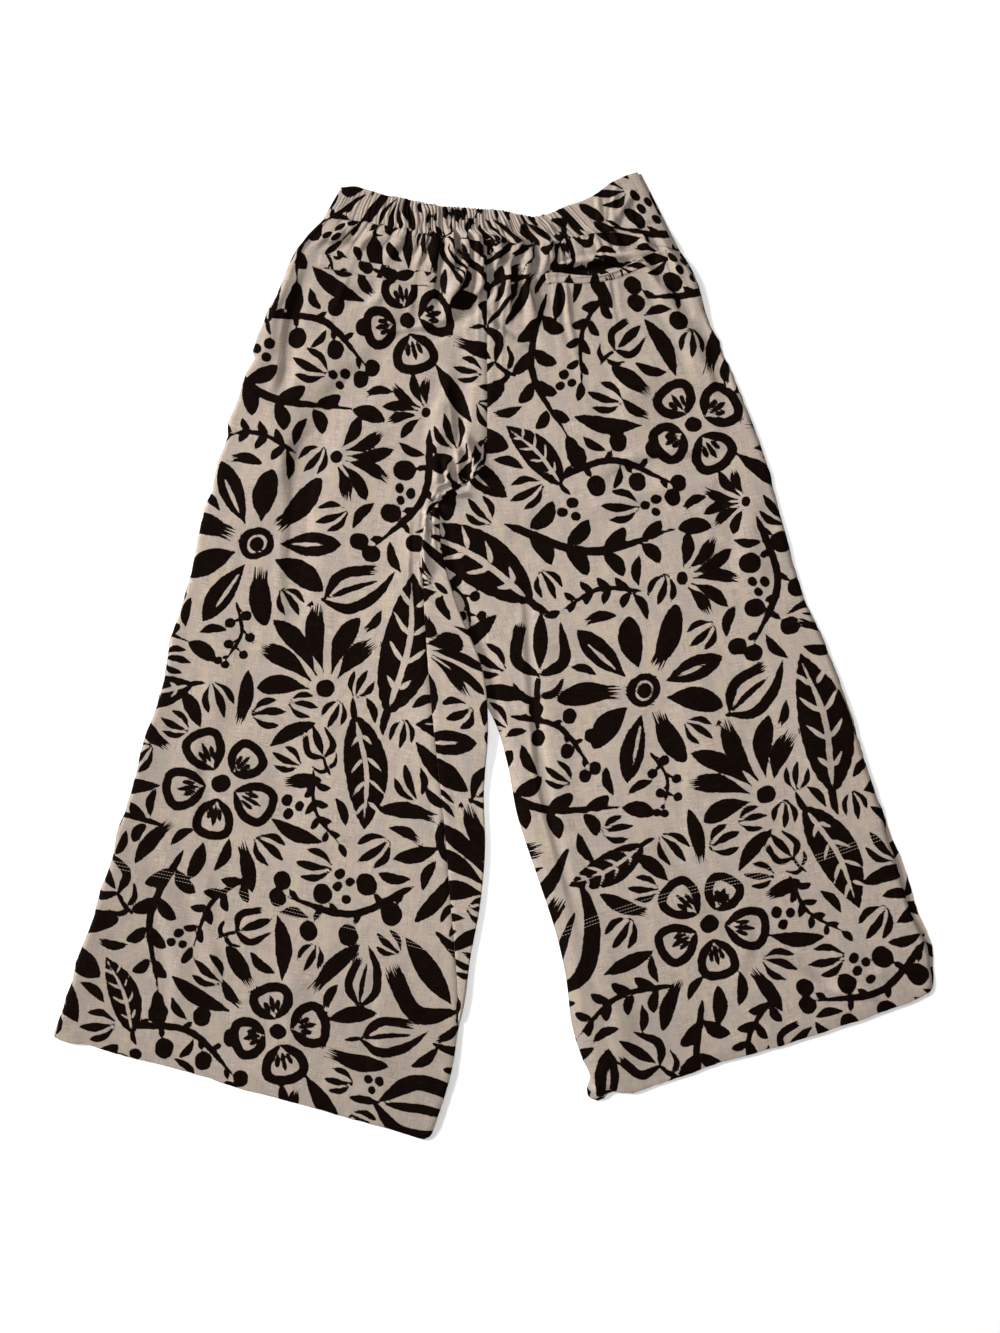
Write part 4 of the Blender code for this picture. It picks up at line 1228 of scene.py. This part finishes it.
def back_right():
    """Back panel of the right leg, flat where the left one lies on it."""
    inner_x, inner_y, side_x, side_y, peek, sag, press = right_rows(BACK_STEP).T
    x, y, depth, to_hem, from_inner, from_side = panel_grid(
        inner_x, inner_y, side_x - peek, side_y, BACK_COLUMNS, RIGHT_HEM_STRAY, sag)
    hold = smooth((from_inner - press[:, None]) / INNER_SETTLE)
    open_leg = smooth((-inner_y - 55.0) / 25.0)[:, None]
    # the dark stroke in the pocket's mouth is painted shade of its opening
    return back_panel("back_right_panel", x, y, depth, to_hem, from_side, from_inner, hold, 0.0, open_leg,
                      (inner_y > CROTCH_Y)[:, None], RIGHT_STITCH, RIGHT_GRAIN, (233.0, 175.0),
                      [(INK, np.array(MOUTH_PAINTED_SHADE, float), 0.0)])


def under_relief(x, y, from_edge, from_other):
    """Low pressed creases of the underside, dying away towards the edges, and its slightly worn edge."""
    inside = smooth(from_edge / 22.0) * from_other
    return inside * np.maximum(fold_height(x, y, UNDER_FOLDS), 0.0), 0.18 * np.exp(-from_edge / 1.4)


def front_right():
    """Front panel of the right leg, the flat underside."""
    inner_x, inner_y, side_x, side_y, _, sag, _ = right_rows(FRONT_STEP).T
    x, y, depth, _, from_inner, from_side = panel_grid(
        inner_x, inner_y, side_x, side_y, FRONT_COLUMNS, RIGHT_HEM_STRAY, sag)
    creases, edge = under_relief(x, y, np.minimum(from_inner, from_side), smooth((x + 60) / 40.0))
    x, y, z, depth = hem_return(x, y, FRONT_LEVEL + creases - edge, depth)
    z[-RETURN_STEPS:] = np.linspace(0.0, 0.4, RETURN_STEPS)[:, None] + FRONT_LEVEL
    p, q = cloth_coordinates(x, y, z, RIGHT_GRAIN, (140.0, 20.0), x[0], depth)
    return cloth_mesh("front_right_panel", x, y, z, -p, q, body_cloth, flip=True)


def front_left():
    """Front panel of the left leg: flat, over the other leg, round its fold and back to the inseam."""
    rows = left_rows(BACK_STEP)
    side_x, fold_x, seam_x = rows[:, 0], rows[:, 2], rows[:, 4]
    turn = np.linspace(0, math.pi, FOLD_STEPS + 2)[1:-1]
    grid = []
    for x0, y0, x1, y1, x2, y2, lift, ramp_x in rows:
        strip_level = BACK_LEVEL + LOFT + lift
        radius = (strip_level - FRONT_LEVEL - lift) / 2
        wrapped = x1 - x2 > 2.6
        edge = x1 - (radius if wrapped else 0.0)
        ramp_end = min(ramp_x, edge - 0.2)
        x = np.concatenate([np.linspace(x0, ramp_end - RAMP_WIDTH, FRONT_COLUMNS + 1),
                            np.linspace(ramp_end - RAMP_WIDTH, ramp_end, RAMP_STEPS + 1)[1:],
                            np.linspace(ramp_end, edge, SHELF_STEPS + 1)[1:]])
        z = FRONT_LEVEL + lift * smooth((x - ramp_end + RAMP_WIDTH) / RAMP_WIDTH)
        top_x = np.linspace(edge, x2 + 0.2, STRIP_STEPS + 1)
        if wrapped:
            round_fold = FRONT_LEVEL + lift + radius * (1 - np.cos(turn))
            x = np.concatenate([x, edge + radius * np.sin(turn), top_x])
            z = np.concatenate([z, round_fold, np.full(len(top_x), strip_level)])
        else:
            missing = np.full(FOLD_STEPS + STRIP_STEPS + 1, np.nan)
            x, z = np.concatenate([x, np.full(missing.size, edge)]), np.concatenate([z, missing])
        slope = (y1 - y0) / (x1 - x0)
        y = y0 + slope * (x - x0)
        if wrapped:
            y[-len(top_x):] += (y2 - y0 - slope * (x2 - x0)) * ((edge - top_x) / (edge - x2))
        grid.append((x, y, z))
    x, y, z = (np.array(part) for part in zip(*grid))
    y, depth = follow_waist(x, y)
    x, y, _ = hem_stray(x, y, LEFT_HEM_STRAY)
    flat = slice(0, FRONT_COLUMNS + 1)
    to_ramp = x[:, FRONT_COLUMNS:FRONT_COLUMNS + 1] - x[:, flat]
    creases, edge = under_relief(x[:, flat], y[:, flat], x[:, flat] - side_x[:, None], smooth(to_ramp / 22.0))
    z[:, flat] += creases
    z[:, flat] -= edge
    strip = slice(-(STRIP_STEPS + 1), None)
    strip_x, strip_y = x[:, strip], y[:, strip]
    fade = (np.linspace(0, 1, STRIP_STEPS + 1) ** 0.7)
    z[:, strip] += fade * (fold_height(strip_x, strip_y, FOLDS) + undulation(strip_x, strip_y, 3) * 0.8)
    z[:, strip] += seam_relief(np.abs(strip_x - seam_x[:, None]), depth)
    z[:, strip] += hem_relief(strip_x, strip_y, LEFT_STITCH)
    ds = step_lengths(x, y, np.where(np.isnan(z), 0.0, z))
    c, s = math.cos(math.radians(LEFT_GRAIN)), math.sin(math.radians(LEFT_GRAIN))
    p = np.concatenate([np.zeros((len(x), 1)), np.cumsum(ds, axis=1)], axis=1)
    p += (c * x[:, :1] + s * y[:, :1])
    q = -s * np.minimum(x, fold_x[:, None]) + c * y
    return cloth_mesh("front_left_panel", x, y, z, -(p + 87.0), q + 210.0, body_cloth, flip=True)


def band_grid(columns, rows, end_trim, wave=0.0):
    """Waistband grid from its top edge to the waist seam."""
    start, last = WAIST_SEAM[0][0], WAIST_SEAM[-1][0]
    seam_x = start + (last - end_trim - start) * np.linspace(0.0, 1.0, columns + 1)
    upper_x = BAND_TOP[0][0] + (BAND_TOP[-1][0] - BAND_TOP[0][0]) * ((seam_x - start) / (last - start))
    top_y = eased(upper_x, BAND_TOP, 4.0, 2.0)
    v = np.linspace(0.0, 1.0, rows + 1)[:, None]
    y = top_y + (waist_y(seam_x) - top_y) * v + wave * seam_wobble(seam_x) * v ** 5
    return seam_x, v, upper_x + (seam_x - upper_x) * v, y


def from_ends(place):
    """Distance of each place from the nearer end of the band."""
    return np.minimum(place - place[0], place[-1] - place)


def waistband_back():
    """Elasticated band: fine uneven gathers, its top edge turned to the inside."""
    place, v, x, y = band_grid(BAND_BACK_COLUMNS, BAND_BACK_ROWS, 4.0, 1.0)
    pull = pull_at(place)
    lean = place + 1.8 * pull * np.sin(place / 19.0 + 3.0 * v) + 0.9 * pull * np.sin(place / 7.0 + 6.0 * v)
    sharp, _, share = gather_of(lean, FRILLS, 2.2)
    _, soft, broad = gather_of(place + 1.5 * np.sin(v * 2.0), PLEATS)
    crest = (0.3 + 1.3 * share[..., 1]) * sharp * pull + 1.1 * (broad[..., 1] - 0.4) * soft * pull
    y = y + crest * (1 - v) ** 3
    belly = 0.6 + 0.4 * np.sin(math.pi * v) ** 0.7
    beat = 1 + 0.3 * np.sin(v * 9.0 + place / 4.1) * np.sin(place / 9.0)
    z = BAND_LEVEL + belly * beat * pull * ((0.9 + 2.0 * share[..., 0]) * sharp + 1.5 * broad[..., 2] * soft)
    z += 0.9 * np.sin(math.pi * v) ** 0.8 + 0.35 * noise(x, y, 22.0, 77)
    z += fold_height(x, y, BAND_FOLDS)
    top = np.zeros((1, 1))
    level = relief(x[-1:], y[-1:], place, top) + BAND_STEP * (1 - pull) + 0.3
    side = from_ends(place)
    level = BACK_LEVEL + level * rounded(side + 1.0)
    join = smooth((v - 0.55) / 0.45)
    x = x + leaning(level - BACK_LEVEL, top) * join
    z += (level - z) * join
    z += seam_groove(place, (1 - v) * 30.0)
    z -= 1.0 * np.exp(-side / 1.8)
    inner = TURNED[::-1]
    x = np.vstack([x[0] for _ in inner] + [x])
    y = np.vstack([y[0] + (0.9 * math.sin(angle) - inward * 5.0) for angle, inward in inner] + [y])
    z = np.vstack([z[0] - 0.7 * (1 - math.cos(angle)) - 0.15 * inward for angle, inward in inner] + [z])
    lean = np.vstack([lean[0] for _ in inner] + [lean])
    jag = np.vstack([share[0, :, 3] for _ in inner] + [share[..., 3]]) - 0.5
    p, q = hidden_cloth(lean, FRILLS, 0.25, 0.65) - 40.0, y + 5.5 * pull * jag + 60.0
    z = np.maximum(z, BAND_LEVEL / 2)
    return cloth_mesh("waistband_back_gathered", x, y, z, p, q, band_cloth, spans=(6, 12))


def waistband_front():
    """Flat band under the gathered one."""
    place, v, x, y = band_grid(BAND_FRONT_COLUMNS, BAND_FRONT_ROWS, 0.0)
    z = FRONT_LEVEL + 0.25 * np.sin(math.pi * v) ** 0.5 + 0 * x
    z += 0.12 * noise(x, y, 9.0, 91) - 0.12
    z -= 0.15 * np.exp(-from_ends(place) / 1.5)
    y, z = y - 1.6 * (1 - v), np.maximum(z, 0.2)
    return cloth_mesh("waistband_front_flat", x, y, z, 330 - x, y + 300.0, band_cloth, flip=True)


def drop(trees, x, y):
    """Top of the cloth under a point, in mm."""
    hits = [tree.ray_cast(Vector((x * MM, y * MM, 0.5)), Vector((0, 0, -1)))[0] for tree in trees]
    return max([hit.z / MM for hit in hits if hit is not None], default=BACK_LEVEL)


def welt(row, trees):
    """Pocket welt lying on its panel, rounded at its edges, its upper edge slightly open."""
    name, x0, y0, x1, y1, height, gape, sag_low, sag_high, thickness = row
    length = math.hypot(x1 - x0, y1 - y0)
    ax, ay = (x1 - x0) / length, (y1 - y0) / length
    bx, by = (-ay, ax) if ax > 0 else (ay, -ax)
    u = np.linspace(0, 1, int(length / 0.9) + 1)
    v = np.linspace(0, 1, WELT_ROWS + 1)[:, None]

    def sagging(size):
        return size * smooth(u / 0.45) * smooth((1 - u) / 0.55)

    low = 0.6 * np.sin(u * 7.0 + x0) + 0.3 * np.sin(u * 19.0) - sagging(sag_low)
    high = height + 0.5 * np.sin(u * 5.0 + y0) - sagging(sag_high)
    rise = low + (high - low) * v
    x, y = x0 + ax * length * u + bx * rise, y0 + ay * length * u + by * rise
    base = np.array([[drop(trees, a, b) for a, b in zip(r, t)] for r, t in zip(x, y)])
    for _ in range(4):
        base[:, 1:-1] = np.maximum(base[:, 1:-1], (base[:, :-2] + base[:, 2:]) / 2)
    across, ends = np.minimum(v, 1 - v) * height, np.minimum(u, 1 - u) * length
    thick = thickness * (1 - np.exp(-across / 0.8)) * (1 - np.exp(-ends / 0.8))
    thick += gape * smooth((v - 0.5) / 0.5) * np.sin(math.pi * np.clip(u, 0, 1)) ** 0.6
    z = base + 0.12 + thick
    z += 0.1 * np.sin(u * length / 1.9) * bell(v * height - 1.6, 1.4)
    x = np.vstack([x[:1] - bx * 0.15, x, x[-1:] + bx * 0.1])
    y = np.vstack([y[:1] - by * 0.15, y, y[-1:] + by * 0.1])
    z = np.vstack([z[:1] - 0.35, z, z[-1:] - 0.5 - gape * 0.4])
    return cloth_mesh(name + "_strip", x, y, z, x * 0.97 + 300.0, y + 0.14 * x + 135.0, welt_cloth,
                      flip=bx * ay - by * ax < 0)


def one_stitch(a, b, first):
    """Points and faces of a small rounded thread from a to b."""
    along = (b - a).normalized()
    side = along.cross(Vector((0, 0, 1))).normalized()
    up = side.cross(along)
    points, faces = [], []
    for t, wide in STITCH_RINGS:
        centre = a.lerp(b, t) + up * (0.10 * math.sin(math.pi * t))
        for k in range(STITCH_SIDES):
            angle = 2 * math.pi * k / STITCH_SIDES
            out, rise = STITCH_THICK * wide * math.cos(angle), 0.75 * STITCH_THICK * wide * math.sin(angle)
            point = centre + side * out + up * rise
            points.append((point.x * MM, point.y * MM, point.z * MM))
    last = first + (len(STITCH_RINGS) - 1) * STITCH_SIDES
    for r in range(first, last, STITCH_SIDES):
        for k in range(STITCH_SIDES):
            n = (k + 1) % STITCH_SIDES
            faces.append((r + k, r + n, r + STITCH_SIDES + n, r + STITCH_SIDES + k))
    faces.append(tuple(first + k for k in reversed(range(STITCH_SIDES))))
    faces.append(tuple(last + k for k in range(STITCH_SIDES)))
    return points, faces


def stitches(name, line, trees):
    """Three rows of stitches pressed into the cloth."""
    verts, faces = [], []
    path = smooth_path(line, 12 * len(line))
    lengths = np.concatenate([[0], np.cumsum(np.hypot(*np.diff(path, axis=0).T))])

    def point_at(s):
        return np.interp(s, lengths, path[:, 0]), np.interp(s, lengths, path[:, 1])

    for row, offset in enumerate(STITCH_ROWS):
        place = 1.2 + 0.9 * row
        while place < lengths[-1] - STITCH_LONG:
            ends = []
            for s in (place, place + STITCH_LONG):
                (px, py), (x0, y0), (x1, y1) = point_at(s), point_at(s - 2), point_at(s + 2)
                ax, ay = x1 - x0, y1 - y0
                size = math.hypot(ax, ay)
                px, py = px - ay / size * offset, py + ax / size * offset
                ends.append(Vector((px, py, drop(trees, px, py) + 0.10)))
            if abs(ends[1].z - ends[0].z) < 1.5:
                points, sides = one_stitch(*ends, len(verts))
                verts += points
                faces += sides
            place += STITCH_PITCH
    return new_object(name, verts, faces, thread)


def tree_of(item):
    """Ray-cast tree of an object in its own place."""
    bm = bmesh.new()
    bm.from_mesh(item.data)
    tree = BVHTree.FromBMesh(bm)
    bm.free()
    return tree


# ---------------------------------------------------------------- build the garment

body_cloth = linen("printed_linen")
band_cloth = linen("printed_linen_band", 0.97)
welt_cloth = linen("printed_linen_welt", 1.02)
thread = thread_material("cream_thread", (0.36, 0.31, 0.26))

fl, fr, bl, br = front_left(), front_right(), back_left(), back_right()
wf, wb = waistband_front(), waistband_back()
left_tree, right_tree, front_tree = tree_of(bl), tree_of(br), tree_of(fl)
wl, wr = welt(WELTS[0], [left_tree]), welt(WELTS[1], [right_tree])
sl = stitches("hem_stitch_left", LEFT_STITCH, [left_tree, front_tree])
sr = stitches("hem_stitch_right", RIGHT_STITCH, [right_tree])

NODES = (
    (fl, "front_left", "body_linen"),
    (fr, "front_right", "body_linen"),
    (bl, "back_left", "body_linen"),
    (br, "back_right", "body_linen"),
    (wf, "waistband_front", "band_linen"),
    (wb, "waistband_back", "band_linen"),
    (wl, "welt_left", "welt_linen"),
    (wr, "welt_right", "welt_linen"),
)
for item, cad, slot_name in NODES:
    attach(item, "root")
    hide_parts(cad)
for item in (sl, sr):
    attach(item, "root")

# ---------------------------------------------------------------- floor, light, camera

FLOOR_HALF = 1.5
floor_corners = [(FLOOR_HALF * x, FLOOR_HALF * y, 0) for x, y in ((-1, -1), (1, -1), (1, 1), (-1, 1))]
floor_material = new_material("pale_floor", Base_Color=(0.97,) * 3, Roughness=0.9, Specular_IOR_Level=0.1)[0]
floor = new_object("floor", floor_corners, [(0, 1, 2, 3)], floor_material, smooth_shaded=False)


def area_light(name, place_at, aim, **values):
    """Square soft light aimed at a point, with its other values."""
    data = bpy.data.lights.new(name, "AREA")
    data.shape = "SQUARE"
    for key, value in values.items():
        setattr(data, key, value)
    item = put_in_scene(name, data)
    item.location = place_at
    item.rotation_mode = "QUATERNION"
    item.rotation_quaternion = (Vector(aim) - Vector(place_at)).to_track_quat("-Z", "Y")


area_light("overhead", (-0.03, 0.02, 2.45), (-0.03, 0.02, 0.0), size=0.7, energy=3.3,
           spread=math.radians(52.0))
area_light("window", (-9.5, 3.6, 4.0), (0, 0, 0), size=2.4, energy=2480.0, color=(1.0, 0.985, 0.96))
world = bpy.data.worlds.new("studio")
world.use_nodes = True
finish(world.node_tree, world.node_tree.nodes["Background"], Color=(1.0, 1.0, 1.0), Strength=0.235)
bpy.context.scene.world = world
bpy.context.scene.view_settings.view_transform = "Standard"

CAMERA_HEIGHT = 2.3
FRAME_LONG = 1.333
camera_data = bpy.data.cameras.new("camera")
camera_data.sensor_width = 36.0
camera_data.lens = 36.0 * CAMERA_HEIGHT / FRAME_LONG
camera = put_in_scene("camera", camera_data)
camera.location = (0.005, -0.0115, CAMERA_HEIGHT)
bpy.context.scene.camera = camera
